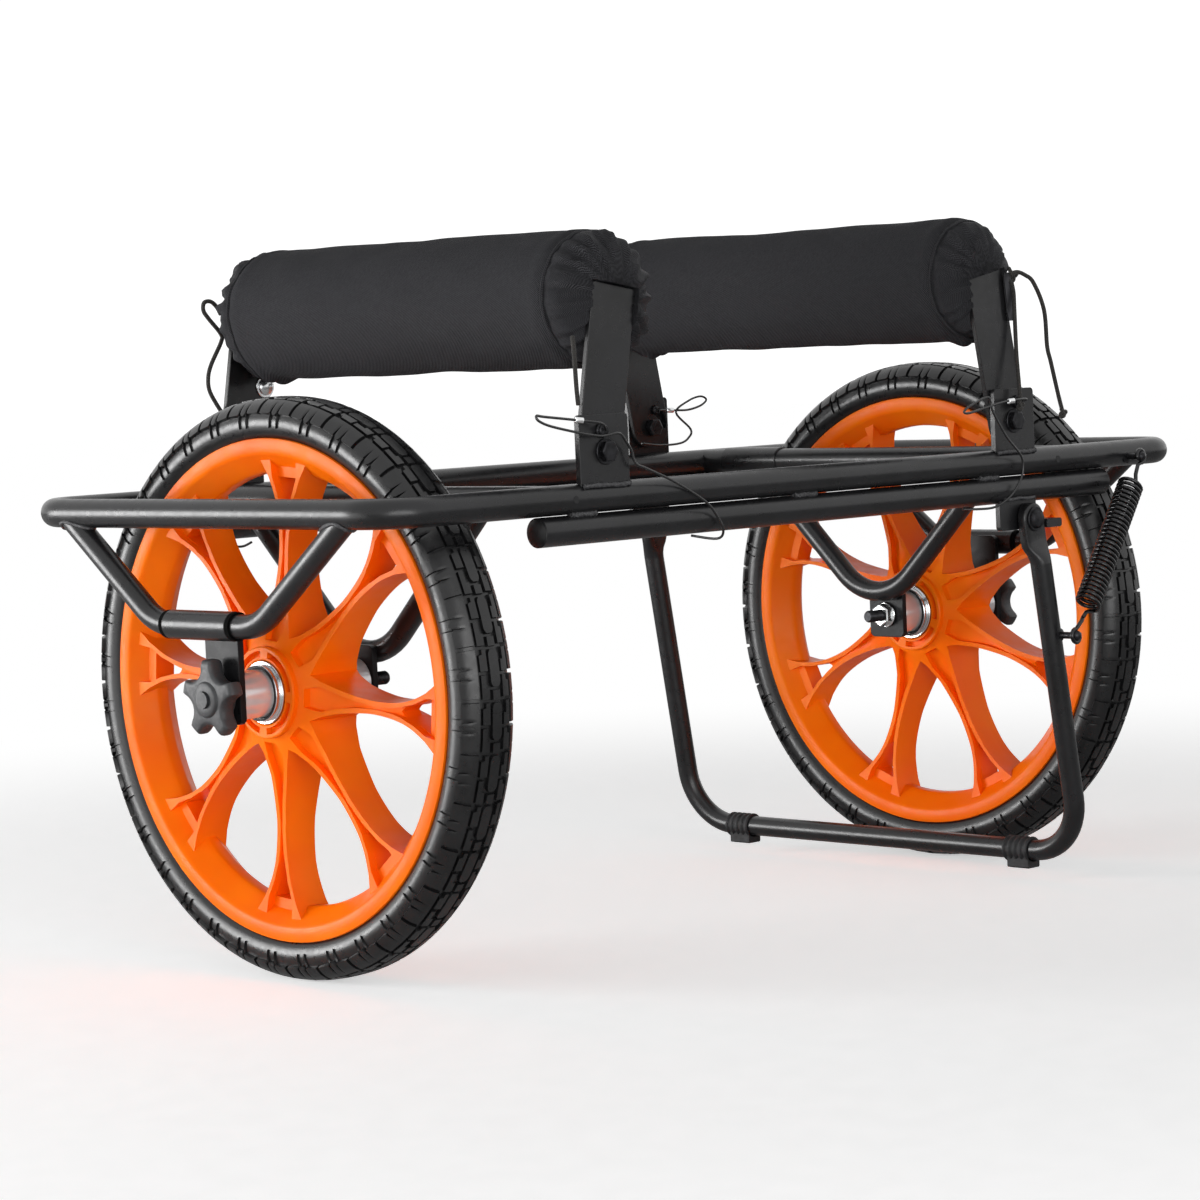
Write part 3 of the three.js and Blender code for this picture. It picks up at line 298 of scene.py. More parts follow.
def polyesterTwill(name, gloss, pitch=1.5):
    # woven polyester over foam: diagonal twill, drawn coarser than the real 0.7 mm so that it shows
    material, tree, shader = newMaterial(name, {"IOR": 1.5, "Specular IOR Level": 0.05})
    parts = addNode(tree, "ShaderNodeSeparateXYZ", None, {"Vector": place(tree)})
    angle = worked(tree, "ARCTAN2", parts.outputs["X"], parts.outputs["Z"])
    around = worked(tree, "MULTIPLY", angle, 47 * mm)  # the bolster's radius
    along = parts.outputs["Y"]
    turns = 2 * math.pi * perMetre(pitch)
    diagonal = worked(tree, "SINE", worked(tree, "MULTIPLY", worked(tree, "ADD", around, along), turns))
    weft = worked(tree, "SINE", worked(tree, "MULTIPLY", along, turns * 1.5))
    weave = worked(tree, "ADD", diagonal, worked(tree, "MULTIPLY", weft, 0.5))
    fuzz = grain(tree, 2.5, 4, 0.7)
    height = worked(tree, "ADD", weave, worked(tree, "MULTIPLY", fuzz, 1.2))
    shade = spread(tree, height, 0, 1, -0.8, 2.2)
    tree.links.new(tint(tree, shade, "#1b1b1d", "#4d4d50", 0.1, 0.9), shader.inputs["Base Color"])
    tree.links.new(spread(tree, shade, gloss, gloss + 0.14, 0, 1), shader.inputs["Roughness"])
    addBump(tree, shader, height, 0.2, 0.9)
    return material


def braidedCord(name, dark, light):
    # braided polyester cord: crossed strands that show as a chequer of light and dark
    material, tree, shader = newMaterial(name, {"IOR": 1.5, "Roughness": 0.75, "Sheen Weight": 0.2})
    strands = addNode(
        tree, "ShaderNodeTexChecker",
        {"Scale": perMetre(1.3)},
        {"Vector": place(tree)},
    )
    mixed = worked(tree, "ADD", worked(tree, "MULTIPLY", strands.outputs["Fac"], 0.6), grain(tree, 1.5))
    tree.links.new(tint(tree, mixed, dark, light, 0.3, 1.1), shader.inputs["Base Color"])
    addBump(tree, shader, mixed, 0.25, 0.8)
    return material


def coatedWire():
    # thin steel rope in black vinyl: smooth and shiny
    material, tree, shader = newMaterial("vinylCoatedWire", {"IOR": 1.53, "Coat Weight": 0.3})
    tree.links.new(tint(tree, grain(tree, 6), "#0e0e0f", "#1a1a1b"), shader.inputs["Base Color"])
    tree.links.new(spread(tree, grain(tree, 3), 0.25, 0.38), shader.inputs["Roughness"])
    return material


def shadowGap():
    # the bare bottom of a narrow joint: nothing but shade
    material, tree, shader = newMaterial("jointShade", {"Specular IOR Level": 0.05, "Roughness": 0.9})
    tree.links.new(tint(tree, grain(tree, 3), "#060606", "#0d0d0d"), shader.inputs["Base Color"])
    return material


coat = powderCoat()
flatCoat = powderCoat("powderCoatedPlate", 0.12)
bead = weldedBead()
orange = orangeNylon()
rubber = tyreRubber()
zinc = zincSteel()
milkyZinc = zincSteel("passivatedZinc", 0.5)
oxide = blackOxide()
wire = springSteel()
knobSkin = knobPlastic()
footSkin = footRubber()
plug = capPlastic()
twill = polyesterTwill("wovenPolyester", 0.62)
lining = polyesterTwill("coatedPolyester", 0.4, 1.2)
drawBraid = braidedCord("braidedDrawcord", "#060606", "#26221d")
coated = coatedWire()
gap = shadowGap()
print("materials made:", len(bpy.data.materials))


# Shapes: each function adds to a bmesh in millimetres

def addLoft(bm, rings, closed=False, capped=True):
    rows = [[bm.verts.new(point) for point in ring] for ring in rings]
    count = len(rows[0])
    pairs = list(zip(rows, rows[1:])) + ([(rows[-1], rows[0])] if closed else [])
    for low, high in pairs:
        for i in range(count):
            j = (i + 1) % count
            bm.faces.new((low[i], low[j], high[j], high[i]))
    if capped and not closed:
        bm.faces.new(list(reversed(rows[0])))
        bm.faces.new(rows[-1])
    return rows


def runningFrames(points, closed=False):
    frames = []
    count = len(points)
    normal = None
    for i in range(count):
        before = points[i - 1] if closed or i > 0 else points[0]
        after = points[(i + 1) % count] if closed or i < count - 1 else points[-1]
        tangent = (after - before).normalized()
        if normal is None:
            guide = Vector((0, 0, 1)) if abs(tangent.z) < 0.9 else Vector((0, 1, 0))
            normal = tangent.cross(guide).normalized()
        normal = (normal - tangent * normal.dot(tangent)).normalized()
        frames.append((tangent, normal, tangent.cross(normal)))
    return frames


def addTube(bm, points, radius, sides=40, closed=False, rounding=0):
    # radius is a number or a function of the share of the way along
    points = [Vector(point) for point in points]
    measure = radius if callable(radius) else (lambda share: radius)
    rings = []
    frames = runningFrames(points, closed)
    last = len(points) - 1
    for i, (point, (tangent, normal, side)) in enumerate(zip(points, frames)):
        size = measure(i / last)
        if rounding and not closed and i == 0:
            rings.append(circleRing(point, normal, side, size - rounding, sides))
            point = point + tangent * rounding * 0.6
        if rounding and not closed and i == last:
            rings.append(circleRing(point - tangent * rounding * 0.6, normal, side, size, sides))
            rings.append(circleRing(point, normal, side, size - rounding, sides))
            continue
        rings.append(circleRing(point, normal, side, size, sides))
    addLoft(bm, rings, closed)


def circleRing(centre, normal, side, radius, sides):
    ring = []
    for i in range(sides):
        turn = 2 * math.pi * i / sides
        ring.append(centre + normal * (radius * math.cos(turn)) + side * (radius * math.sin(turn)))
    return ring


def turned(profile, segments, axis="z"):
    # rings round an axis from (radius, height) pairs
    rings = []
    for radius, height in profile:
        ring = []
        for i in range(segments):
            turn = 2 * math.pi * i / segments
            a, b = radius * math.cos(turn), radius * math.sin(turn)
            ring.append(Vector({"x": (height, a, b), "y": (b, height, a), "z": (a, b, height)}[axis]))
        rings.append(ring)
    return rings


def softened(profile, closed=False, cut=0.8):
    # each corner of a profile becomes two points a little way along its sides
    out = []
    count = len(profile)
    for i, point in enumerate(profile):
        if not closed and i in (0, count - 1):
            out.append(tuple(point))
            continue
        here = Vector(point)
        for other in (profile[i - 1], profile[(i + 1) % count]):
            toward = Vector(other) - here
            step = min(cut, toward.length * 0.4)
            out.append(tuple(here + toward.normalized() * step))
    return out


def addTurned(bm, profile, segments, axis="z", centre=(0, 0, 0), closed=False):
    rings = [[point + Vector(centre) for point in ring] for ring in turned(profile, segments, axis)]
    addLoft(bm, rings, closed)


def mirrored(profile):
    # a turned outline whose lower half repeats the upper one
    return profile + [(radius, -height) for radius, height in reversed(profile)]


def fromFace(profile, face, sign):
    # (radius, height) pairs set out from a face, in its outward direction
    return [(radius, face + sign * height) for radius, height in profile]


def addPlate(bm, outline, low, high, axis):
    # outline pairs become y and z, x and z, or x and y
    def lift(a, b, height):
        return Vector({"x": (height, a, b), "y": (a, height, b), "z": (a, b, height)}[axis])
    addLoft(bm, [[lift(a, b, low) for a, b in outline], [lift(a, b, high) for a, b in outline]])


def roundedOutline(left, bottom, right, top, corners, steps=5):
    # corners is one radius, or four from the lower left, anticlockwise
    radii = corners if isinstance(corners, (list, tuple)) else [corners] * 4
    centres = [
        (left, bottom, 1, 1, 180), (right, bottom, -1, 1, 270),
        (right, top, -1, -1, 0), (left, top, 1, -1, 90),
    ]
    points = []
    for radius, (x, y, signX, signY, start) in zip(radii, centres):
        for i in range(steps + 1):
            turn = math.radians(start + 90 * i / steps)
            cx, cy = x + signX * radius, y + signY * radius
            points.append((cx + radius * math.cos(turn), cy + radius * math.sin(turn)))
    return points


def bentPath(corners, bend, steps=10, closed=False):
    path = []
    corners = [Vector(corner) for corner in corners]
    count = len(corners)
    for i, corner in enumerate(corners):
        if not closed and i in (0, count - 1):
            path.append(corner)
            continue
        back = (corners[i - 1] - corner).normalized()
        ahead = (corners[(i + 1) % count] - corner).normalized()
        half = back.angle(ahead) / 2
        centre = corner + (back + ahead).normalized() * (bend / math.sin(half))
        first = corner + back * (bend / math.tan(half)) - centre
        final = corner + ahead * (bend / math.tan(half)) - centre
        whole = first.angle(final)
        for step in range(steps + 1):
            share = step / steps
            spoke = first * math.sin((1 - share) * whole) + final * math.sin(share * whole)
            path.append(centre + spoke / math.sin(whole))
    return path


def smoothRoute(points, each=6):
    # a curve through the points, as a rope lies
    points = [Vector(point) for point in points]
    out = []
    for i in range(len(points) - 1):
        a = points[max(i - 1, 0)]
        b, c = points[i], points[i + 1]
        d = points[min(i + 2, len(points) - 1)]
        for step in range(each):
            t = step / each
            bend = (2 * a - 5 * b + 4 * c - d) * t * t
            out.append(0.5 * (2 * b + (c - a) * t + bend + (3 * b - a - 3 * c + d) * t ** 3))
    out.append(points[-1])
    return out


def smoothStep(value, low, high):
    t = min(max((value - low) / (high - low), 0), 1)
    return t * t * (3 - 2 * t)


def finishMesh(bm, name, material, smooth):
    bmesh.ops.recalc_face_normals(bm, faces=bm.faces)
    mesh = bpy.data.meshes.new(name)
    bm.to_mesh(mesh)
    bm.free()
    mesh.materials.append(material)
    mesh.shade_smooth()
    mesh.set_sharp_from_angle(angle=math.radians(smooth))
    return mesh


def addPiece(name, bm, material, body, replaces=(), bevel=0, smooth=35, matrix=None):
    bmesh.ops.transform(bm, matrix=toFrame @ (matrix or Matrix.Identity(4)), verts=bm.verts)
    piece = bpy.data.objects.new(name, finishMesh(bm, name, material, smooth))
    scene.collection.objects.link(piece)
    if bevel:
        soften = piece.modifiers.new("softEdges", "BEVEL")
        soften.width = bevel * mm
        soften.segments = 2
        soften.limit_method = "ANGLE"
        soften.angle_limit = math.radians(35)
        soften.harden_normals = True
    if body:
        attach(piece, body)
    if replaces:
        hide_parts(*replaces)
    return piece


def ripple(points, radius, pitch=2.4, seed=0):
    # radii along a weld bead: a row of overlapping drops
    length = sum((b - a).length for a, b in zip(points, points[1:]))

    def radiusAt(share):
        wave = abs(math.sin(math.pi * share * length / pitch))
        rough = noise.noise(Vector((share * length * 0.35, seed, 0)))
        return radius * (0.72 + 0.3 * wave + 0.28 * rough)
    return radiusAt


def addBead(bm, points, radius, seed=0):
    dense = smoothRoute(points, 8)
    addTube(bm, dense, ripple(dense, radius, seed=seed), 10, rounding=radius * 0.4)


def addWeld(name, bm):
    addPiece(name, bm, bead, "frame", smooth=60)


# Cords: the routes that the lanyards and drawcords take
lanyards = {
    "radius": 0.9,
    "crimps": {
        "lanyard_left_front": ((-252, -200, 376.6), (-32, 3, 4)),
        "lanyard_right_front": ((193, -204.2, 370.6), (-27.7, -1, -1.3)),
        "lanyard_right_back": ((222, 177.4, 368.9), (17.5, -4, -0.9)),
        "lanyard_left_back": ((-234.6, 201.1, 351), (-1, 0, -14)),
    },
    "routes": {
        "lanyard_left_front": [
            (-226.8, -199.5, 368.7), (-233, -202, 373.5), (-248, -200, 376), (-280, -197, 380),
            (-288, -197.2, 381), (-286.5, -198.5, 377.2), (-272, -199, 372.5), (-236, -201, 365.5),
            (-219, -203, 366.5), (-210, -200.5, 361), (-203.5, -199, 354), (-200, -199, 345.5),
            (-190, -199, 341.5), (-163.4, -199.2, 331), (-136, -200, 316.5), (-125, -200, 306.5),
            (-118, -199.5, 295.5), (-119.5, -195, 289.5), (-134, -184, 292.5),
        ],
        "lanyard_right_front": [
            (211.5, -199.4, 369.5), (210.5, -203.4, 371.5), (182.8, -204.5, 370.2), (143, -204.5, 363.8),
            (140, -204.4, 367), (163.5, -204.3, 374.4), (168.3, -204.6, 371), (170.5, -204.6, 363.5),
            (185.6, -204, 345), (204.2, -202.2, 329.9), (207.3, -201.6, 320.8), (205, -201.2, 312.7),
            (197, -201, 303.5), (187, -200.5, 297), (177, -197.5, 292.6), (166, -192, 291.9),
            (156, -184, 292.4),
        ],
        "lanyard_right_back": [
            (211.5, 180, 369.5), (229, 176, 368.6), (241, 174, 368.6), (253, 172, 371.5),
            (259.5, 171.5, 376), (253, 172, 379), (240, 173, 376), (226, 174.5, 367),
            (240, 172, 352.5), (237, 172, 345.5), (226.9, 172.3, 341.5), (205.3, 174, 341),
            (186, 176, 343.5),
        ],
        "lanyard_left_back": [
            (-226.8, 199.5, 368.7), (-231, 201.5, 364), (-235, 201, 350), (-236, 200, 335),
            (-234, 200, 305), (-231.5, 198.5, 294), (-228.5, 194, 288.5), (-225, 188, 288),
            (-222, 181.5, 291),
        ],
    },
}
drawcords = {
    "radius": 1.6,
    "routes": {
        "drawcord_left_back": [
            (-231.5, 192.8, 459), (-235, 193, 465), (-240.5, 193, 469), (-246.5, 193, 468.3),
            (-247.5, 193, 462.5), (-243, 193, 456.5), (-232.3, 193, 445), (-232.5, 193, 439),
            (-243.5, 192, 423), (-247.8, 191, 413), (-247, 190.5, 402.5), (-238.5, 189.3, 388),
        ],
        "drawcord_left_front": [
            (-239.3, -184, 432), (-240.5, -186, 422), (-241, -187.5, 398), (-240, -187.5, 386),
        ],
        "drawcord_right_outer": [
            (209, -194, 464), (214, -196.5, 466), (220, -199.5, 463.5), (226, -202.5, 457.5),
            (233, -206, 437), (236.5, -205, 410), (241.5, -204, 398), (252, -201.5, 374),
            (258.5, -200.5, 359),
        ],
        "drawcord_right_inner": [
            (210.5, -194, 459), (212.8, -193.8, 451), (213.6, -193.4, 440), (212, -195, 414),
            (210.5, -196.6, 401), (207.8, -200.3, 378), (207.2, -201, 366.5),
        ],
    },
    "ends": {"drawcord_right_outer": "knot", "drawcord_right_inner": "knot"},
    "endKnot": 1.15,
    "gatherKnot": 2.1,
    "gatherPlace": (213.5, -192, 464),
}


crimpForm = {"wide": 2.1, "thick": 1.4, "stations": [(-3.4, 0.75), (-3, 1), (3, 1), (3.4, 0.75)]}


def knotTurns(centre, size):
    # the line of an overhand knot, drawn tight
    points = []
    for i in range(37):
        turn = 2 * math.pi * i / 36
        a = math.cos(turn) + 1.6 * math.cos(2 * turn)
        b = math.sin(turn) - 1.6 * math.sin(2 * turn)
        points.append(Vector(centre) + Vector((a, 0.8 * math.sin(3 * turn), b)) * size)
    return points


def addKnot(node, centre, size, material, body):
    bm = bmesh.new()
    addTube(bm, knotTurns(centre, size), drawcords["radius"] * 0.95, 10)
    return addPiece(node.replace("_", ".") + ".knot", bm, material, body, smooth=60)


def addCrimp(name, centre, way):
    # an aluminium ferrule pressed flat on the two legs of a loop
    way = Vector(way).normalized()
    side = way.cross(Vector((0, 1, 0))).normalized()
    rings = []
    for along, size in crimpForm["stations"]:
        middle = Vector(centre) + way * along
        ring = []
        for i in range(20):
            turn = 2 * math.pi * i / 20
            across = side * (crimpForm["wide"] * size * math.cos(turn))
            ring.append(middle + across + Vector((0, crimpForm["thick"] * size * math.sin(turn), 0)))
        rings.append(ring)
    bm = bmesh.new()
    addLoft(bm, rings)
    return addPiece(name, bm, zinc, "frame", smooth=40)


def addCord(node, route, radius, material, body):
    path = [toFrame @ point for point in smoothRoute(route)]
    bm = bmesh.new()
    addTube(bm, [inCart(point) for point in path], radius, 12, rounding=radius * 0.3)
    piece = addPiece(node.replace("_", "."), bm, material, body, [node], smooth=60)


for cordNode, cordRoute in lanyards["routes"].items():
    crimpCentre, crimpWay = lanyards["crimps"][cordNode]
    crimp = addCrimp(cordNode.replace("_", ".") + ".crimp", crimpCentre, crimpWay)
    addCord(cordNode, cordRoute, lanyards["radius"], coated, "frame")
for cordNode, cordRoute in drawcords["routes"].items():
    cordBody = "left_cradle" if "left" in cordNode else "right_cradle"
    cordEnd = drawcords["ends"].get(cordNode, "object")
    if cordEnd == "knot":
        addKnot(cordNode, cordRoute[-1], drawcords["endKnot"], drawBraid, cordBody)
    addCord(cordNode, cordRoute, drawcords["radius"], drawBraid, cordBody)
addKnot("drawcord_right_gather", drawcords["gatherPlace"], drawcords["gatherKnot"], drawBraid, "right_cradle")
print("cords laid:", len(lanyards["routes"]) + len(drawcords["routes"]))


# Frame: the bent loop, its cross rails and the tubes under it
loopLow, loopHigh = boxOf("frame_loop")
rail = {
    "radius": (loopHigh.z - loopLow.z) / 2,
    "height": (loopHigh.z + loopLow.z) / 2,
    "bend": 34,
    "sleeveRadius": 11.4,
    "sleeves": {"left": (-79, 160), "right": (98, 158)},
    # where the lower tubes are welded to the loop, seen from outside
    "seamWelds": [(-256, -231), (-37, -12), (167, 190)],
    "drainX": 255,
    "drainRadius": 2.6,
    "drainDepth": 0.35,
    "seamBead": 2.6,
    "plugDome": [(0.5, 2.4), (4, 2.2), (7, 1.4)],
}
rail["halfLength"] = loopHigh.x - rail["radius"]
rail["halfWidth"] = loopHigh.y - rail["radius"]


def addFrameLoop():
    bm = bmesh.new()
    x, y, z = rail["halfLength"], rail["halfWidth"], rail["height"]
    corners = [(-x, -y, z), (x, -y, z), (x, y, z), (-x, y, z)]
    addTube(bm, bentPath(corners, rail["bend"], 14, True), rail["radius"], 48, closed=True)
    addPiece("frameLoop", bm, coat, "frame", ["frame_loop"])
    holes = bmesh.new()
    for side in (-1, 1):
        # the dark bottom of a drain hole and the lip round it: painted shade, a dark disc where the inside of
        # the tube lies in shade
        centre = (side * rail["drainX"], -y - rail["radius"] + rail["drainDepth"], z)
        cup = [(0.1, 0.5), (rail["drainRadius"], 0.5), (rail["drainRadius"], -0.4)]
        addTurned(holes, cup, 24, "y", centre)
    addPiece("drainHoleShade", holes, plug, "frame")


def addCrossRails():
    radius, sleeveRadius = rail["radius"], rail["sleeveRadius"]
    for side, (front, back) in rail["sleeves"].items():
        middle = middleOf(f"cross_rail_{side}")
        bm = bmesh.new()
        reach = rail["halfWidth"] - 2
        addTube(bm, [(middle.x, -reach, middle.z), (middle.x, reach, middle.z)], radius, 40)
        sleeve = [(radius - 1, front), (sleeveRadius, front), (sleeveRadius, back), (radius - 1, back)]
        addTurned(bm, softened(sleeve, cut=0.8), 40, "y", (middle.x, 0, middle.z))
        addPiece(f"crossRail.{side}", bm, coat, "frame", [f"cross_rail_{side}"])


def addLowerTubes():
    for end in endSigns:
        low, high = boxOf(f"lower_tube_{end}")
        radius = (high.z - low.z) / 2
        middle = (low + high) / 2
        bm = bmesh.new()
        addTube(bm, [(low.x, middle.y, middle.z), (high.x, middle.y, middle.z)], radius, 40, rounding=0.8)
        addPiece(f"lowerTube.{end}", bm, coat, "frame", [f"lower_tube_{end}"])
        for side, edge in ((-1, low.x), (1, high.x)):
            cap = bmesh.new()
            dome = rail["plugDome"] + [(radius - 1.3, 0.2), (radius - 1.3, -4)]
            addTurned(cap, fromFace(dome, edge, side), 32, "x", (0, middle.y, middle.z))
            addPiece(f"tubePlug.{end}.{side}", cap, plug, "frame")


def addSeamWelds():
    bm = bmesh.new()
    lowerTop = boxOf("lower_tube_front")[1].z
    height = (lowerTop + loopLow.z) / 2
    steps = 4
    for end in (-1, 1):
        y = end * (rail["halfWidth"] + 3.4)
        for index, (start, stop) in enumerate(rail["seamWelds"]):
            points = []
            for i in range(steps + 1):
                points.append((start + (stop - start) * i / steps, y, height + 0.3 * (-1) ** i))
            addBead(bm, points, rail["seamBead"], seed=index + end)
    addWeld("seamWelds", bm)


addFrameLoop()
addCrossRails()
addLowerTubes()
addSeamWelds()
print("frame tubes made")


# Trusses and the plates that carry the axles
truss = {
    "outerRadius": 8.25,
    "outerHeight": 249.5,
    "outerCorner": 54,
    "outerTop": 150,
    "innerRadius": 8,
    "innerCorner": 199.4,
    "innerTop": 126.4,
    "innerBend": 49,
    "bend": 45,
    "sleeveRadius": 10,
    "sleeveFront": -28.5,
    "sleeveBack": 38.2,
    "joint": 3.6,
    "outerBead": 1.5,
    "innerBead": 1.4,
    "plateBead": 1.5,
    "plateCorner": 4.5,
    "plateWeld": {"outer": 15.5, "inner": 12},
}


def saddleBead(bm, x, top, slope, end, radius, size, seed):
    # a bead where a sloping tube meets the underside of a rail; top is where its axis meets the rail's axis
    points = []
    along = radius * math.sqrt(1 + slope ** 2) / slope
    for i in range(41):
        turn = 2 * math.pi * i / 40
        across = radius * math.cos(turn)
        drop = math.sqrt(rail["radius"] ** 2 - min(across, rail["radius"]) ** 2) + 0.4
        y = end * (top - drop / slope) + along * math.sin(turn)
        points.append(Vector((x + across, y, rail["height"] - drop)))
    addTube(bm, points, ripple(points, size, seed=seed), 8)


def addOuterTruss(side, sign):
    x = sign * rail["halfLength"]
    top = rail["height"] - 2
    slope = (rail["height"] - truss["outerHeight"]) / (truss["outerTop"] - truss["outerCorner"])
    reach = truss["outerTop"] - 2 / slope
    corners = [(x, -reach, top), (x, -truss["outerCorner"], truss["outerHeight"])]
    corners += [(x, -corner[1], corner[2]) for corner in reversed(corners)]
    bm = bmesh.new()
    addTube(bm, bentPath(corners, truss["bend"], 10), truss["outerRadius"], 40)
    inner = truss["outerRadius"] - 0.5
    front, back = truss["sleeveFront"], truss["sleeveBack"]
    profile = [(inner, front), (truss["sleeveRadius"], front), (truss["sleeveRadius"], back), (inner, back)]
    addTurned(bm, softened(profile, cut=0.5), 40, "y", (x, 0, truss["outerHeight"]))
    addPiece(f"outerTruss.{side}", bm, coat, "frame", [f"truss_{side}_outer"])
    # painted shade: a dark ring for the gap between the sleeve and the bent tube at each of its ends
    gapShadeRings = bmesh.new()
    for edge, way in ((front, -1), (back, 1)):
        rim = truss["sleeveRadius"] - 0.25
        stop = edge + way * truss["joint"]
        ring = [(inner, edge), (rim, edge), (rim, stop), (inner, stop)]
        addTurned(gapShadeRings, ring, 40, "y", (x, 0, truss["outerHeight"]))
    addPiece(f"sleeveGapShade.{side}", gapShadeRings, gap, "frame")
    welds = bmesh.new()
    for end in (-1, 1):
        radius = truss["outerRadius"] + 0.3
        saddleBead(welds, x, truss["outerTop"], slope, end, radius, truss["outerBead"], sign + end)
    addWeld(f"outerTrussWelds.{side}", welds)


def addInnerTruss(side, sign):
    x = middleOf(f"truss_{side}_inner").x
    top = rail["height"] - 2
    slope = (rail["height"] - truss["innerCorner"]) / truss["innerTop"]
    reach = truss["innerTop"] - 2 / slope
    bm = bmesh.new()
    corners = [(x, -reach, top), (x, 0, truss["innerCorner"]), (x, reach, top)]
    addTube(bm, bentPath(corners, truss["innerBend"], 14), truss["innerRadius"], 40)
    addPiece(f"innerTruss.{side}", bm, coat, "frame", [f"truss_{side}_inner"])
    welds = bmesh.new()
    for end in (-1, 1):
        radius = truss["innerRadius"] + 0.3
        saddleBead(welds, x, truss["innerTop"], slope, end, radius, truss["innerBead"], sign + end)
    addWeld(f"innerTrussWelds.{side}", welds)


def addAxlePlate(side, where):
    node = f"axle_plate_{side}_{where}"
    low, high = boxOf(node)
    bm = bmesh.new()
    addPlate(bm, roundedOutline(low.y, low.z, high.y, high.z, truss["plateCorner"]), low.x, high.x, "x")
    addPiece(f"axlePlate.{side}.{where}", bm, flatCoat, "frame", [node], bevel=0.5)
    weld = bmesh.new()
    radius = truss["sleeveRadius"] if where == "outer" else truss["innerRadius"]
    tube = truss["outerHeight"] if where == "outer" else boxOf(f"truss_{side}_inner")[0].z + radius
    x = low.x - 1.2 if (low.x < 0) == (where == "outer") else high.x + 1.2
    half = truss["plateWeld"][where]
    drop = tube - radius * 0.72
    steps = 6
    points = [(x, -half + 2 * half * i / steps, drop - 0.4 * (-1) ** i) for i in range(steps + 1)]
    addBead(weld, points, truss["plateBead"], seed=low.x)
    addWeld(f"axlePlateWeld.{side}.{where}", weld)


for sideName, sideSign in sideSigns.items():
    addOuterTruss(sideName, sideSign)
    addInnerTruss(sideName, sideSign)
    addAxlePlate(sideName, "outer")
    addAxlePlate(sideName, "inner")
print("trusses made")


# Axles: a plated bolt with its nut, and the spacers round it
axle = {
    "radius": 5,
    "thread": 1.25,
    "threadDepth": 0.5,
    "threadLength": 14,
    "end": 0.6,
    "flange": 10,
    "flangeThick": 2,
    "nut": 9.2,
    "nutThick": 7.5,
}


def hexProfile(bm, across, low, high, axis, centre, chamfer=0.8):
    # a nut or bolt head: a six sided prism with its corners turned off at the outer face
    rings = []
    shoulder = chamfer * 0.6
    span = [(across - chamfer, low), (across, low + shoulder)]
    span += [(across, high - shoulder), (across - chamfer, high)]
    for radius, height in span:
        ring = []
        for i in range(6):
            turn = math.radians(60 * i + 30)
            a, b = radius * math.cos(turn), radius * math.sin(turn)
            point = {"x": (height, a, b), "y": (b, height, a), "z": (a, b, height)}[axis]
            ring.append(Vector(point) + Vector(centre))
        rings.append(ring)
    addLoft(bm, rings)


def addThread(bm, radius, start, stop, centre):
    # a screw thread along x, drawn as rings, with its turned end
    pitch, depth, end = axle["thread"], axle["threadDepth"], axle["end"]
    count = int(abs(stop - start) / pitch)
    sign = 1 if stop > start else -1
    profile = [(0.2, start)]
    for i in range(count):
        base = start + sign * pitch * i
        profile += [(radius - depth, base), (radius, base + sign * pitch * 0.45)]
    profile += [(radius - depth, stop), (radius - 1.2, stop + sign * end), (0.2, stop + sign * end)]
    addTurned(bm, profile, 28, "x", centre)


def addAxle(side, sign):
    low, high = boxOf(f"axle_bolt_{side}")
    centre = (0, 0, (low.z + high.z) / 2)
    inner = high.x if sign < 0 else low.x
    outer = low.x if sign < 0 else high.x
    plateLow, plateHigh = boxOf(f"axle_plate_{side}_inner")
    plateFace = plateHigh.x if sign < 0 else plateLow.x
    face = plateFace - sign * 0.3
    bm = bmesh.new()
    cut = outer - sign * axle["threadLength"]
    shank = [(0.2, face), (axle["radius"], face), (axle["radius"], cut), (0.2, cut)]
    addTurned(bm, softened(shank), 32, "x", centre)
    addThread(bm, axle["radius"], cut, outer - sign * axle["end"], centre)
    flangeFar = face - sign * axle["flangeThick"]
    flange = [(3, face), (axle["flange"], face), (axle["flange"], flangeFar), (3, flangeFar)]
    addTurned(bm, softened(flange, cut=0.6), 40, "x", centre)
    nutFar = flangeFar - sign * axle["nutThick"] * 0.8
    hexProfile(bm, axle["nut"], min(flangeFar, nutFar), max(flangeFar, nutFar), "x", centre, 1.1)
    addPiece(f"axleBolt.{side}", bm, zinc, "frame", [f"axle_bolt_{side}"], smooth=30)
    stub = bmesh.new()
    addThread(stub, axle["radius"] - 0.2, nutFar, inner + sign * axle["end"], centre)
    addPiece(f"axleStub.{side}", stub, oxide, "frame", smooth=30)


def addSpacer(side):
    node = f"axle_spacer_{side}"
    low, high = boxOf(node)
    middle = (low + high) / 2
    radius = (high.z - low.z) / 2
    bore = axle["radius"] + 0.4
    profile = [(bore, low.x), (radius, low.x), (radius, high.x), (bore, high.x)]
    bm = bmesh.new()
    addTurned(bm, softened(profile, cut=0.8), 56, "x", (0, middle.y, middle.z))
    addPiece(f"axleSpacer.{side}", bm, milkyZinc, "frame", [node])


for sideName, sideSign in sideSigns.items():
    addAxle(sideName, sideSign)
    addSpacer(sideName)
print("axles made")


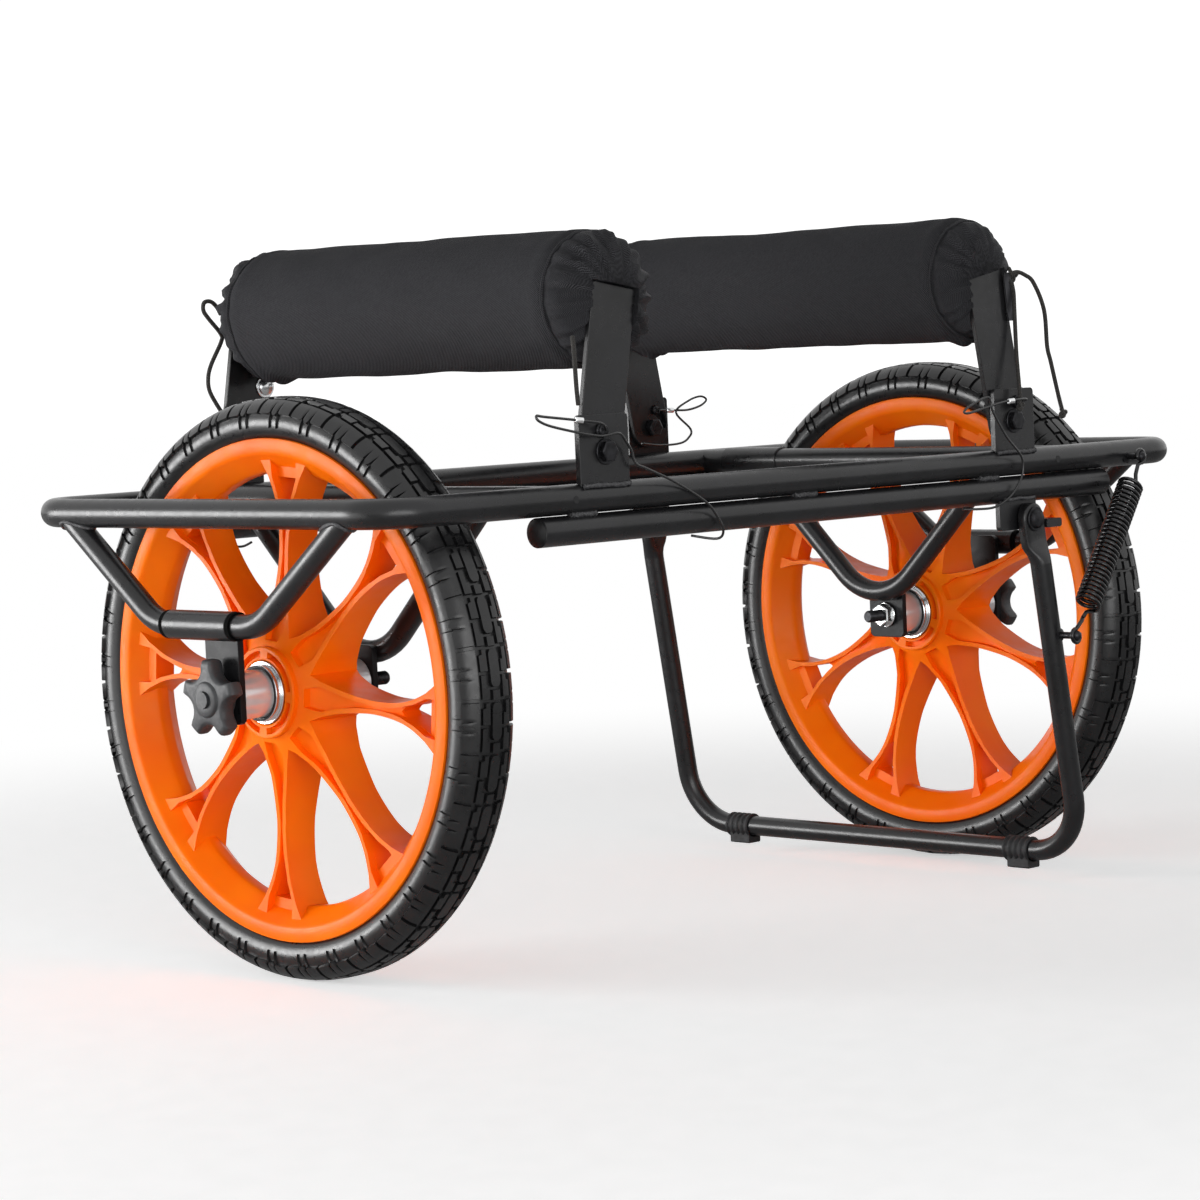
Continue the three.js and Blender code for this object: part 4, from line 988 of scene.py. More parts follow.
# Wheels: drawn about z, then turned so that z runs along the axle
wheel = {
    "arms": 8,
    "leftAngle": 5,
    "rightAngle": 20,
    "rimRadius": 149,
    "tip": 41,
    "hubRadius": 31.5,
    "hubHalf": 30,
    "bore": 22,
    "recessInner": 24.2,
    "recessOuter": 28.6,
    "recessDepth": 5,
    "rib": 3.6,
    "webDepth": 5.5,
    # half an arm's outline and half of the hole in its foot: shares of the rim's radius, along and across
    "edge": [
        (0.302, 0.083), (0.402, 0.056), (0.52, 0.038), (0.638, 0.03),
        (0.76, 0.038), (0.87, 0.062), (0.975, 0.108),
    ],
    "hole": [(0.779, 0), (0.81, 0.025), (0.9, 0.05), (0.975, 0.078)],
    "tipLean": 0.35,
    "spokeEnd": 159,
    # (radius, half thickness) of the arms, and of the rim's barrel from its seat to its well
    "faces": [
        (160, 14.6), (140, 13.2), (120, 12.5), (90, 13.2), (60, 15.6),
        (45, 19), (36, 23.4), (31.5, 25.6), (27, 25.6),
    ],
    "barrel": [
        (166, 17), (172, 17), (172.4, 18.2), (171.9, 19.6), (170, 20), (163, 20), (161.4, 19.3), (160.4, 18),
        (158.2, 15.6), (151.6, 7.4), (149.6, 5), (149, 3.6),
    ],
    # where the sunk web of an arm is measured
    "webStations": (
        35, 38, 42, 46, 51, 57, 64, 72, 80, 88, 96, 104, 112, 120, 127, 133, 139, 145, 151, 158, 166,
    ),
    "sleeve": [(17.2, 34.5), (19.5, 34.5), (19.5, 30.6), (21.6, 30.6), (21.6, 28.5)],
    "seal": [(17.4, 32.6), (19, 33.4), (19, 34.9), (17.4, 34.9)],
}
tyre = {
    "outer": 200,
    "pitches": 36,
    "tread": 2.4,
    # half of the cross section: (half width, radius) from the crown to the bead
    "section": [
        (0, 197.6), (7, 197.3), (12, 196.2), (16.5, 193.5), (19.8, 189.6), (21.6, 185),
        (21.8, 180.5), (20.4, 176), (18.3, 173), (17, 171.6), (16.7, 166.3),
    ],
    # blocks as (place in a pitch, half width or edge)
    "long": [(0.04, 2.6), (0.09, 3.9), (0.14, 4.4), (0.4, 4.4), (0.66, 4.4), (0.71, 3.9), (0.76, 2.6)],
    "short": [(0.8, 3.4), (0.9, 3.4), (1.0, 3.4)],
    "stepIn": [(0.03, 9.2), (0.12, 9.2), (0.14, 11.4), (0.46, 11.4)],
    "stepOut": [(0.51, 7.4), (0.74, 7.4), (0.76, 5.4), (0.98, 5.4)],
    "shoulder": [
        (0.02, 24), (0.3, 24.5), (0.345, 23.8), (0.375, 17), (0.405, 23.8), (0.45, 25.5),
        (0.53, 25.5), (0.575, 23.8), (0.605, 17), (0.635, 23.8), (0.68, 24.5), (0.96, 24),
    ],
    "nicks": (0.375, 0.605),
    "flash": [(0.05, 24.5), (0.035, 30), (0.02, 33), (0.008, 27)],
}


def wheelMatrix(side):
    return Matrix.Translation(middleOf(f"tyre_{side}")) @ Matrix.Rotation(math.pi / 2, 4, "Y")


def spun(point, angle):
    x, y = point
    return (x * math.cos(angle) - y * math.sin(angle), x * math.sin(angle) + y * math.cos(angle))


def onArm(shares, sign):
    return [(along * wheel["rimRadius"], sign * across * wheel["rimRadius"]) for along, across in shares]


def flowing(points, each=4):
    return [(p.x, p.y) for p in smoothRoute([(a, b, 0) for a, b in points], each)]


def windowOutline(angle, pitch):
    outward = [spun(point, angle) for point in flowing(onArm(wheel["edge"], 1))]
    back = [spun(point, angle + pitch) for point in flowing(onArm(wheel["edge"], -1))]
    tip = spun((wheel["tip"], 0), angle + pitch / 2)
    lean = wheel["tipLean"]
    tipOut = tuple(a + (b - a) * lean for a, b in zip(tip, outward[0]))
    tipBack = tuple(a + (b - a) * lean for a, b in zip(tip, back[0]))
    half = math.asin(wheel["edge"][-1][1])
    past = wheel["spokeEnd"] + 4
    steps = 10
    bow = [spun((past, 0), angle + half + (pitch - 2 * half) * i / steps) for i in range(1, steps)]
    return [tip, tipOut, *outward, *bow, *reversed(back), tipBack]


def holeOutline(angle):
    outward = flowing(onArm(wheel["hole"], -1), 3)
    back = list(reversed(flowing(onArm(wheel["hole"], 1), 3)))[:-1]
    return [spun(point, angle) for point in outward + back]


def between(points, here):
    # the value at a place along a row of (place, value) pairs, in either order
    points = sorted(points)
    for (a, low), (b, high) in zip(points, points[1:]):
        if here <= b:
            return low + (high - low) * max(here - a, 0) / (b - a)
    return points[-1][1]


def addWebCut(bm, angle, sign, tall):
    # the web of an arm lies lower than the two ribs that run along its edges
    edge = [(along * wheel["rimRadius"], across * wheel["rimRadius"]) for along, across in wheel["edge"]]
    rings = []
    for along in wheel["webStations"]:
        if along < edge[0][0]:
            half = edge[0][1] - wheel["rib"] - 0.25 * (edge[0][0] - along)
        elif along > edge[-1][0]:
            half = edge[-1][1] - wheel["rib"] + 0.08 * (along - edge[-1][0])
        else:
            half = between(edge, along) - wheel["rib"]
        half = max(half, 0.7)
        depth = wheel["webDepth"] * smoothStep(half, 0.2, 3)
        bottom = between(wheel["faces"], along) - max(depth, 1.4)
        corners = [(-half, bottom), (half, bottom), (half, tall), (-half, tall)]
        rings.append([Vector((*spun((along, across), angle), sign * height)) for across, height in corners])
    addLoft(bm, rings)


def arcSlot(bm, start, stop, bottom, top):
    steps = 8
    turns = [math.radians(start + (stop - start) * i / steps) for i in range(steps + 1)]
    outline = [spun((wheel["recessOuter"], 0), turn) for turn in turns]
    outline += [spun((wheel["recessInner"], 0), turn) for turn in reversed(turns)]
    addPlate(bm, outline, bottom, top, "z")


def bareObject(name, bm):
    mesh = bpy.data.meshes.new(name)
    bmesh.ops.recalc_face_normals(bm, faces=bm.faces)
    bm.to_mesh(mesh)
    bm.free()
    piece = bpy.data.objects.new(name, mesh)
    scene.collection.objects.link(piece)
    return piece


def combined(base, others):
    # others are (bmesh, operation) pairs, worked through in turn; the result is a new bmesh
    target = bareObject("blank", base)
    tools = []
    for bm, operation in others:
        tool = bareObject("tool", bm)
        step = target.modifiers.new(operation, "BOOLEAN")
        step.operation = operation
        step.solver = "EXACT"
        step.use_self = operation == "UNION"
        step.object = tool
        tools.append(tool)
    bpy.context.view_layer.update()
    mesh = bpy.data.meshes.new_from_object(target.evaluated_get(bpy.context.evaluated_depsgraph_get()))
    out = bmesh.new()
    out.from_mesh(mesh)
    bpy.data.meshes.remove(mesh)
    for piece in (target, *tools):
        bpy.data.objects.remove(piece)
    return out


def makeRimBlank():
    pitch = 2 * math.pi / wheel["arms"]
    disc = bmesh.new()
    profile = [(r, -h) for r, h in reversed(wheel["faces"])] + wheel["faces"]
    addTurned(disc, profile, 128, "z", closed=True)
    cuts = bmesh.new()
    tall = wheel["hubHalf"] + 5
    webs = bmesh.new()
    for arm in range(wheel["arms"]):
        addPlate(cuts, windowOutline(arm * pitch, pitch), -tall, tall, "z")
        addPlate(cuts, holeOutline(arm * pitch), -tall, tall, "z")
        for sign in (-1, 1):
            addWebCut(webs, arm * pitch, sign, tall)
    barrel = bmesh.new()
    addTurned(barrel, mirrored(wheel["barrel"]), 144, "z", closed=True)
    hub = bmesh.new()
    ring = [(wheel["bore"], wheel["hubHalf"]), (wheel["hubRadius"], wheel["hubHalf"])]
    addTurned(hub, softened(mirrored(ring), True, 0.9), 96, "z", closed=True)
    recesses = bmesh.new()
    for sign in (-1, 1):
        near, far = sorted((sign * (wheel["hubHalf"] - wheel["recessDepth"]), sign * tall))
        for part in range(4):
            arcSlot(recesses, part * 90 + 8, part * 90 + 82, near, far)
    return combined(disc, [
        (cuts, "DIFFERENCE"), (webs, "DIFFERENCE"), (barrel, "UNION"), (hub, "UNION"),
        (recesses, "DIFFERENCE"),
    ])


def addRims():
    blank = makeRimBlank()
    for side, angle in (("left", wheel["leftAngle"]), ("right", wheel["rightAngle"])):
        bm = blank.copy()
        matrix = wheelMatrix(side) @ Matrix.Rotation(math.radians(angle), 4, "Z")
        addPiece(
            f"rim.{side}", bm, orange, f"{side}_wheel", [f"rim_{side}"], bevel=0.9,
            matrix=matrix,
        )
    blank.free()


def sectionAt(reach):
    # the place on the tyre's cross section at an arc length from the crown, and its outward normal
    points = smoothRoute([(x, r, 0) for x, r in tyre["section"]], 6)
    left = abs(reach)
    for a, b in zip(points, points[1:]):
        step = (b - a).length
        if left <= step:
            spot = a.lerp(b, left / step)
            along = (b - a).normalized()
            sign = 1 if reach >= 0 else -1
            return Vector((sign * spot.x, spot.y)), Vector((sign * -along.y, along.x))
        left -= step
    return Vector((points[-1].x, points[-1].y)), Vector((1, 0))


def onTread(around, reach, raised):
    spot, out = sectionAt(reach)
    spot = spot + out * raised
    angle = 2 * math.pi * around / tyre["pitches"]
    return Vector((spot.y * math.cos(angle), spot.y * math.sin(angle), spot.x))


def addBlock(bm, stations, raised, across=3, draft=0.45):
    # a tread block from stations (place round the tyre, near edge, far edge), raised with leaning sides
    top, base = [], []
    middle = sum(station[0] for station in stations) / len(stations)
    for around, near, far in stations:
        shrink = draft if far > near else -draft
        pull = 0.012 * (1 if around < middle else -1 if around > middle else 0)
        topRow, baseRow = [], []
        for i in range(across + 1):
            reach = near + shrink + (far - near - 2 * shrink) * i / across
            topRow.append(onTread(around + pull, reach, raised))
            baseRow.append(onTread(around, near + (far - near) * i / across, -0.3))
        top.append(topRow)
        base.append(baseRow)
    topVerts = [[bm.verts.new(point) for point in row] for row in top]
    baseVerts = [[bm.verts.new(point) for point in row] for row in base]
    for rows in (topVerts, baseVerts):
        for a, b in zip(rows, rows[1:]):
            for i in range(across):
                bm.faces.new((a[i], a[i + 1], b[i + 1], b[i]))

    def edgeLoop(rows):
        farSide = [row[-1] for row in rows[1:]]
        nearSide = [row[0] for row in reversed(rows[1:-1])]
        return rows[0] + farSide + list(reversed(rows[-1]))[1:] + nearSide
    high, low = edgeLoop(topVerts), edgeLoop(baseVerts)
    for i in range(len(high)):
        j = (i + 1) % len(high)
        bm.faces.new((high[i], low[i], low[j], high[j]))


def makeTyreBlank():
    bm = bmesh.new()
    section = smoothRoute([(x, r, 0) for x, r in tyre["section"]], 5)
    half = [(p.y, p.x) for p in section]
    profile = [(r, -x) for r, x in reversed(half[1:])] + half
    addTurned(bm, profile, 180, "z", closed=True)
    raised = tyre["tread"]
    for pitch in range(tyre["pitches"]):
        # the long round-ended block down the middle and the short one after it
        addBlock(bm, [(pitch + u, -w, w) for u, w in tyre["long"]], raised)
        addBlock(bm, [(pitch + u, -w, w) for u, w in tyre["short"]], raised)
        for sign in (-1, 1):
            shift = pitch + (0.5 if sign > 0 else 0)
            # two stepped blocks between the middle and the shoulder
            addBlock(bm, [(shift + u, sign * 5.4, sign * w) for u, w in tyre["stepIn"]], raised)
            addBlock(bm, [(shift + u, sign * w, sign * 11.4) for u, w in tyre["stepOut"]], raised)
            # the shoulder block, with the two nicks in its outer edge
            addBlock(bm, [(shift + u, sign * 12.4, sign * w) for u, w in tyre["shoulder"]], raised, 5)
            for u in tyre["nicks"]:
                # the thin raised flash beside each nick, running down the side wall
                fang = [(shift + (u - back), sign * 23.5, sign * w) for back, w in tyre["flash"]]
                addBlock(bm, fang, raised * 0.62, 2, 0.1)
    return bm


def addTyres():
    blank = makeTyreBlank()
    for side in sideSigns:
        addPiece(
            f"tyre.{side}", blank.copy(), rubber, f"{side}_wheel",
            [f"tyre_{side}"], smooth=42, matrix=wheelMatrix(side),
        )
    blank.free()


def addHubSleeve(side):
    bm = bmesh.new()
    profile = mirrored(wheel["sleeve"])
    addTurned(bm, softened(profile, True, 0.4), 72, "z", closed=True)
    addPiece(
        f"hubSleeve.{side}", bm, zinc, f"{side}_wheel", [f"hub_sleeve_{side}"],
        matrix=wheelMatrix(side),
    )
    seal = bmesh.new()
    for sign in (-1, 1):
        addTurned(seal, fromFace(wheel["seal"], 0, sign), 60, "z", closed=True)
    addPiece(f"bearingSeal.{side}", seal, footSkin, f"{side}_wheel", matrix=wheelMatrix(side))


addRims()
addTyres()
for sideName in sideSigns:
    addHubSleeve(sideName)
print("wheels made")


# Knobs: five lobes, a raised boss and the bolt seen in its recess
knob = {
    "outer": 27,
    "waist": 17.5,
    "scallop": 13,
    "lobes": 5,
    "turn": {"left": 0, "right": 18},
    "collar": 13,
    "collarLength": 3,
    "body": 12,
    "boss": 11.5,
    "length": 17,
    "recess": 5.6,
    "depth": 4.5,
    # (distance from the lobes' near or far face, inset there)
    "nearEdge": [(0, 3.2), (0.8, 1.4), (2.4, 0.3), (5, 0)],
    "farEdge": [(4, 0), (1.8, 0.6), (0.6, 1.9), (0, 3.6)],
}


def knobRadius(angle):
    # a disc with round scallops between its lobes, the corners eased
    pitch = 2 * math.pi / knob["lobes"]
    off = abs((angle % pitch) - pitch / 2)
    far = knob["waist"] + knob["scallop"]
    across = far * math.sin(off)
    scalloped = 99
    if across < knob["scallop"]:
        scalloped = far * math.cos(off) - math.sqrt(knob["scallop"] ** 2 - across ** 2)
    return -math.log(math.exp(-scalloped * 0.9) + math.exp(-knob["outer"] * 0.9)) / 0.9


def knobRing(height, inset, steps=160):
    ring = []
    for i in range(steps):
        angle = 2 * math.pi * i / steps
        radius = min(knobRadius(angle), knob["outer"]) - inset
        ring.append(Vector((radius * math.cos(angle), radius * math.sin(angle), height)))
    return ring


def recessCutter(bottom, stop):
    wall, bottom, top = knob["recess"] - 0.05, bottom + 0.05, stop + 4
    cut = bmesh.new()
    addTurned(cut, [(0.3, bottom), (wall, bottom), (wall, top), (0.3, top)], 56)
    return cut


def addKnob(side, sign):
    node = f"knob_{side}"
    body = f"{side}_knob"
    low, high = boxOf(node)
    near = high.x if sign < 0 else low.x
    axis = middleOf(f"axle_bolt_{side}")
    matrix = Matrix.Translation((near, axis.y, axis.z)) @ Matrix.Rotation(sign * math.pi / 2, 4, "Y")
    matrix = matrix @ Matrix.Rotation(math.radians(knob["turn"][side]), 4, "Z")
    start, stop = knob["collarLength"], knob["collarLength"] + knob["body"]
    bm = bmesh.new()
    levels = [(start + up, inset) for up, inset in knob["nearEdge"]]
    levels += [(stop - down, inset) for down, inset in knob["farEdge"]]
    addLoft(bm, [knobRing(height, inset) for height, inset in levels])
    collar = [(0.3, 0), (knob["collar"], 0), (knob["collar"], start + 1)]
    addTurned(bm, collar, 48)
    face, mouth, bottom = knob["length"], knob["recess"], knob["length"] - knob["depth"]
    wall = knob["boss"]
    boss = [(0.3, stop - 3), (wall + 1.5, stop - 1), (wall, face - 0.5), (wall - 0.7, face)]
    boss += [(mouth + 0.4, face), (mouth, face - 0.4), (mouth, bottom), (0.3, bottom)]
    cup = bmesh.new()
    addTurned(cup, boss, 56)
    lobes = combined(bm, [(recessCutter(bottom, stop), "DIFFERENCE")])
    addPiece(f"knob.{side}", lobes, knobSkin, body, [node], matrix=matrix, smooth=40)
    bored = combined(cup, [(recessCutter(bottom, stop), "DIFFERENCE")])
    addPiece(f"knobBoss.{side}", bored, knobSkin, body, matrix=matrix, smooth=40)
    # the rounded end of the bolt in the recess
    tip = bmesh.new()
    top = face - 0.4
    ring = [(1.5, bottom), (1.5, top - 0.8), (2, top), (3.2, top), (3.9, top - 0.8), (3.9, bottom)]
    addTurned(tip, ring, 40, closed=True)
    addTurned(tip, [(0.2, bottom + 0.3), (1.6, bottom + 0.3), (1.6, bottom), (0.2, bottom)], 24, closed=True)
    addPiece(f"knobBolt.{side}", tip, zinc, body, matrix=matrix, smooth=30)


for sideName, sideSign in sideSigns.items():
    addKnob(sideName, sideSign)
print("knobs made")


# Kickstand: a bent tube with flattened eyes, its brackets, bolts and ribbed rubber feet
stand = {
    "hinge": (217, 0, 281.5),
    "lean": 9.3,
    "radius": 8,
    "halfWidth": 203.2,
    "drop": 261.6,
    "bend": 44,
    "eyeNear": 194.65,
    "eyeFar": 203.65,
    "eyeHalf": 12,
    "legTop": 34,
    # (height from the hinge, how far the round tube has become a flat eye)
    "flattening": [
        (-34, 0), (-31, 0.06), (-27, 0.3), (-23, 0.7), (-19.5, 0.94), (-16, 1), (-12, 1), (-6, 1), (0, 1),
    ],
    "studAlong": 90,
    "studAcross": 1.6,
    "studY": -226,
}
foot = {
    "front": -145.1,
    "back": 148.3,
    "length": 24,
    "rib": 10.1,
    "groove": 9,
    "ribs": 5,
    "block": 21,
    "halfWidth": 7,
    "drop": 14,
    "cleatInset": 1.6,
}
bracket = {
    "inner": 190.35,
    "outer": 194.35,
    "left": 187,
    "right": 230,
    "bottom": 274,
    "top": 303,
    "tube": (175, 265, 10.25),
    "stopLength": 18,
    "stopThick": 6.6,
    "weldY": 195.6,
    "weldHeight": 297.2,
    "weldBead": 1.6,
    "weld": (191, 200, 209, 218, 227),
}
boltForm = {
    "nut": 7.2,
    "nutThick": 5.5,
    "washer": 9.2,
    "washerThick": 1.2,
    "shank": 3.9,
    "dome": [(0.5, 1), (7.2, 1), (7.1, 2), (5.6, 4.1), (3, 4.9), (0.4, 5)],
}
stud = {"radius": 2.6, "ball": 4, "railX": 341, "railY": -210, "railDrop": 2.5}
standMatrix = Matrix.Translation(stand["hinge"]) @ Matrix.Rotation(math.radians(-stand["lean"]), 4, "Y")


def addStud(bm, x, z, start, stop):
    # a ball stud along y: its collar, neck and ball
    sign = 1 if stop > start else -1
    profile = [(0.2, start), (5.2, start), (5.2, start + sign * 1.4), (stud["radius"], start + sign * 2.2)]
    for i in range(9):
        turn = math.radians(-50 + 140 * i / 8)
        profile.append((max(stud["ball"] * math.cos(turn), 0.2), stop + sign * stud["ball"] * math.sin(turn)))
    addTurned(bm, profile, 24, "y", (x, 0, z))


def addStandTube():
    bm = bmesh.new()
    half, drop, start = stand["halfWidth"], stand["drop"], stand["legTop"]
    corners = [(0, -half, -start), (0, -half, -drop), (0, half, -drop), (0, half, -start)]
    addTube(bm, bentPath(corners, stand["bend"], 14), stand["radius"], 40)
    eyeMiddle = (stand["eyeNear"] + stand["eyeFar"]) / 2
    eyeThick = (stand["eyeFar"] - stand["eyeNear"]) / 2
    for end in (-1, 1):
        rings = []
        for z, share in stand["flattening"]:
            halfX = stand["radius"] + (stand["eyeHalf"] - stand["radius"]) * share
            halfY = stand["radius"] + (eyeThick - stand["radius"]) * share
            middle = half + (eyeMiddle - half) * share
            power = 1 - 0.55 * share
            rings.append([squareRound(halfX, halfY, power, i, 40, end * middle, z) for i in range(40)])
        for turn in (15, 30, 45, 60, 72, 82):
            z = stand["eyeHalf"] * math.sin(math.radians(turn))
            halfX = stand["eyeHalf"] * math.cos(math.radians(turn))
            rings.append([squareRound(halfX, eyeThick, 0.45, i, 40, end * eyeMiddle, z) for i in range(40)])
        addLoft(bm, rings)
    addPiece("standTube", bm, coat, "stand", ["stand_tube"], matrix=standMatrix)
    ball = bmesh.new()
    addStud(ball, stand["studAcross"], -stand["studAlong"], -half - 6, stand["studY"])
    addPiece("standStud", ball, oxide, "stand", matrix=standMatrix)


def squareRound(halfX, halfY, power, i, count, y, z):
    turn = 2 * math.pi * i / count
    c, s = math.cos(turn), math.sin(turn)
    x = halfX * math.copysign(abs(c) ** power, c)
    across = halfY * math.copysign(abs(s) ** power, s)
    return Vector((x, y + across, z))


def addFoot(end):
    pitch = foot["length"] / (2 * foot["ribs"] - 1)
    half = foot["length"] / 2
    profile = [(stand["radius"] + 0.2, -half)]
    for band in range(2 * foot["ribs"] - 1):
        radius = foot["groove"] if band % 2 else foot["rib"]
        profile += [(radius, -half + band * pitch), (radius, -half + (band + 1) * pitch)]
    profile.append((stand["radius"] + 0.2, half))
    bm = bmesh.new()
    addTurned(bm, softened(profile, cut=0.9), 40, "y", (0, foot[end], -stand["drop"]), closed=True)
    node = f"stand_foot_{end}"
    addPiece(f"standFoot.{end}", bm, footSkin, "stand", [node], matrix=standMatrix)
    base = bmesh.new()
    wide, low = foot["halfWidth"], -foot["drop"]
    outline = [(-wide, -2), (-wide, low + 0.8), (-wide + 0.8, low)]
    outline += [(wide - 0.8, low), (wide, low + 0.8), (wide, -2)]
    near, far = foot[end] - half, foot[end] - half + foot["block"]
    addPlate(base, outline, near, far, "y")
    for i in range(3):
        # shallow cleats across the sole
        x = -wide + 3 + i * (wide - 3)
        cleat = [(x - 1.3, low + 0.4), (x - 0.9, low - 0.35), (x + 0.9, low - 0.35), (x + 1.3, low + 0.4)]
        addPlate(base, cleat, near + foot["cleatInset"], far - foot["cleatInset"], "y")
    lean = Matrix.Rotation(math.radians(stand["lean"]), 4, "Y")
    level = standMatrix @ Matrix.Translation((0, 0, -stand["drop"])) @ lean
    addPiece(f"standSole.{end}", base, footSkin, "stand", matrix=level, bevel=0.6)


def addStandBracket(end, sign):
    inner, outer = sorted((sign * bracket["inner"], sign * bracket["outer"]))
    lean = math.radians(stand["lean"])
    lowest = bracket["bottom"] - stand["hinge"][2]
    stopNear = stand["hinge"][0] + (stand["eyeHalf"] + 0.3 - lowest * math.sin(lean)) / math.cos(lean)
    stopFar = stopNear + bracket["stopLength"]
    plate = bmesh.new()
    outline = roundedOutline(bracket["left"], bracket["bottom"], bracket["right"], bracket["top"], 3)
    addPlate(plate, outline, inner, outer, "y")
    stopTop = bracket["bottom"] + bracket["stopThick"]
    arm = bmesh.new()
    outline = roundedOutline(bracket["right"] - 6, bracket["bottom"], stopFar, stopTop, 2)
    addPlate(arm, outline, inner, outer, "y")
    tube = bmesh.new()
    lowTube = middleOf(f"lower_tube_{end}")
    tubeStart, tubeEnd, radius = bracket["tube"]
    addTube(tube, [(tubeStart, lowTube.y, lowTube.z), (tubeEnd, lowTube.y, lowTube.z)], radius, 40)
    stop = bmesh.new()
    near, far = sorted((sign * bracket["inner"], sign * stand["eyeFar"]))
    addPlate(stop, roundedOutline(stopNear, bracket["bottom"], stopFar, stopTop, 2), near, far, "y")
    whole = combined(plate, [(arm, "UNION"), (tube, "DIFFERENCE"), (stop, "UNION")])
    addPiece(f"standBracket.{end}", whole, coat, "frame", [f"stand_bracket_{end}"], bevel=0.4)
    weld = bmesh.new()
    y, z = sign * bracket["weldY"], bracket["weldHeight"]
    points = [(x, y, z + 0.3 * math.sin(x)) for x in bracket["weld"]]
    addBead(weld, points, bracket["weldBead"], seed=sign)
    addWeld(f"standBracketWeld.{end}", weld)


def addWasher(bm, radius, low, high, axis, centre):
    ring = [(0.5, low), (radius, low), (radius, high), (0.5, high)]
    addTurned(bm, softened(ring, cut=0.4), 32, axis, centre)


def addStandBolt(end, sign):
    x, _, z = stand["hinge"]
    centre = (x, 0, z)
    face = sign * (stand["eyeFar"] + 0.2)
    bm = bmesh.new()
    addWasher(bm, boltForm["washer"], face, face + sign * boltForm["washerThick"], "y", centre)
    addTurned(bm, fromFace(boltForm["dome"], face, sign), 40, "y", centre)
    nutFace = sign * (bracket["inner"] - 0.3)
    hexProfile(bm, boltForm["nut"], *sorted((nutFace, nutFace - sign * boltForm["nutThick"])), "y", centre)
    shank, tip = boltForm["shank"], nutFace - sign * 5
    addTurned(bm, [(0.4, face), (shank, face), (shank, tip), (0.4, tip)], 24, "y", centre)
    addPiece(f"standBolt.{end}", bm, oxide, "frame", [f"stand_bolt_{end}"], smooth=30)


addStandTube()
for endName, endSign in endSigns.items():
    addFoot(endName)
    addStandBracket(endName, endSign)
    addStandBolt(endName, endSign)
railStud = bmesh.new()
addStud(railStud, stud["railX"], rail["height"] - stud["railDrop"], -rail["halfWidth"] - 8, stud["railY"])
addPiece("railStud", railStud, oxide, "frame")
print("stand made")


# Spring between the two studs: its coils, and the wire that turns into a loop round each stud
spring = {
    "wire": 1.55,
    "outer": 10.35,
    "curls": 29,
    "steps": 20,
    "start": 26,
    "length": 114,
    "hook": 12,
    "loop": 5.1,
}
springTop = Vector((stud["railX"], stud["railY"], rail["height"] - stud["railDrop"]))
springFoot = standMatrix @ Vector((stand["studAcross"], stand["studY"], -stand["studAlong"]))
springLine = (springFoot - springTop).normalized()
springTurn = Vector((0, 0, -1)).rotation_difference(springLine).to_matrix().to_4x4()
springMatrix = Matrix.Translation(springTop) @ springTurn


def eyeLoop(height, toward):
    # three quarters of a turn round a stud, starting and ending on the side that faces the coils
    points = []
    for i in range(15):
        turn = math.radians(-150 + 300 * i / 14)
        z = height + toward * spring["loop"] * math.cos(turn)
        points.append(Vector((spring["loop"] * math.sin(turn), 0.6 * i / 14, z)))
    return points


def addSpring():
    curl = spring["outer"] - spring["wire"]
    span = (springFoot - springTop).length
    points = eyeLoop(0, 1)
    first = spring["start"]
    points += [Vector((0.4, 0.3, -8)), Vector((1.5, 0.2, -first * 0.62))]
    points.append(Vector((curl * 0.55, 0, -first + 3.6)))
    steps = spring["curls"] * spring["steps"]
    for i in range(steps + 1):
        turn = 2 * math.pi * i / spring["steps"]
        along = first + spring["length"] * i / steps
        points.append(Vector((curl * math.cos(turn), curl * math.sin(turn), -along)))
    last = first + spring["length"]
    hookStart = span - stud["ball"] - 0.6 - spring["hook"]
    points += [Vector((curl * 0.55, 0, -last - 3)), Vector((1.5, 0, -(last + hookStart) / 2))]
    points.append(Vector((0, 0, -hookStart)))
    bm = bmesh.new()
    addTube(bm, points, spring["wire"], 10, rounding=0.5)
    coils = addPiece(
        "springCoils", bm, wire, None, ["stand_spring"], matrix=springMatrix, smooth=60,
    )
    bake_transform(coils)
    hook = bmesh.new()
    low = [Vector((0, 0, -hookStart)), Vector((0, 0, -hookStart - 3))] + eyeLoop(-span, -1)
    addTube(hook, low, spring["wire"], 10, rounding=0.5)
    addPiece(
        "springHook", hook, wire, "spring_lower", ["spring_hook"],
        matrix=springMatrix, smooth=60,
    )


addSpring()
print("spring made")


# Cradles: brackets on the rails, flat arms that fold, their pivots and lock pins
cradle = {
    "left": {"sign": -1, "x": -222.8, "z": 354.7, "lean": 10.1, "radius": 47.5, "lift": 104.4, "shift": 2.5},
    "right": {"sign": 1, "x": 207.5, "z": 355.5, "lean": 11.4, "radius": 46, "lift": 108.8, "shift": -1},
}
hinge = {
    "inner": 189.5,
    "outer": 194,
    "width": 46,
    "foot": 330,
    "top": 379.6,
    "offset": 1,
    "armNear": 185.2,
    "armFar": 189.2,
    "armHalf": 20,
    "armLength": 112,
    "armFoot": 15,
    "pinOut": 4,
    "pinUp": 14,
    "pinRadius": 3.4,
    "swing": 65,
    "pinHead": [(0.4, 0), (5, 0), (5, 1.2), (4.2, 2), (4.2, 3.3), (3.4, 4), (0.4, 4)],
    "slotGap": 0.4,
    "railCut": 10.2,
    "weldY": 195.2,
    "weldHeight": 332.4,
    "weldBead": 1.8,
    "nut": 7.5,
    "washer": 9,
    "shank": 3.9,
    # the head of the screw that holds a bolster, seen on one arm only
    "screw": (14, 0, 53.5),
    "screwDome": [(0.4, 3), (6.6, 3), (6.2, 1.6), (4, 0.4), (0.4, 0)],
}


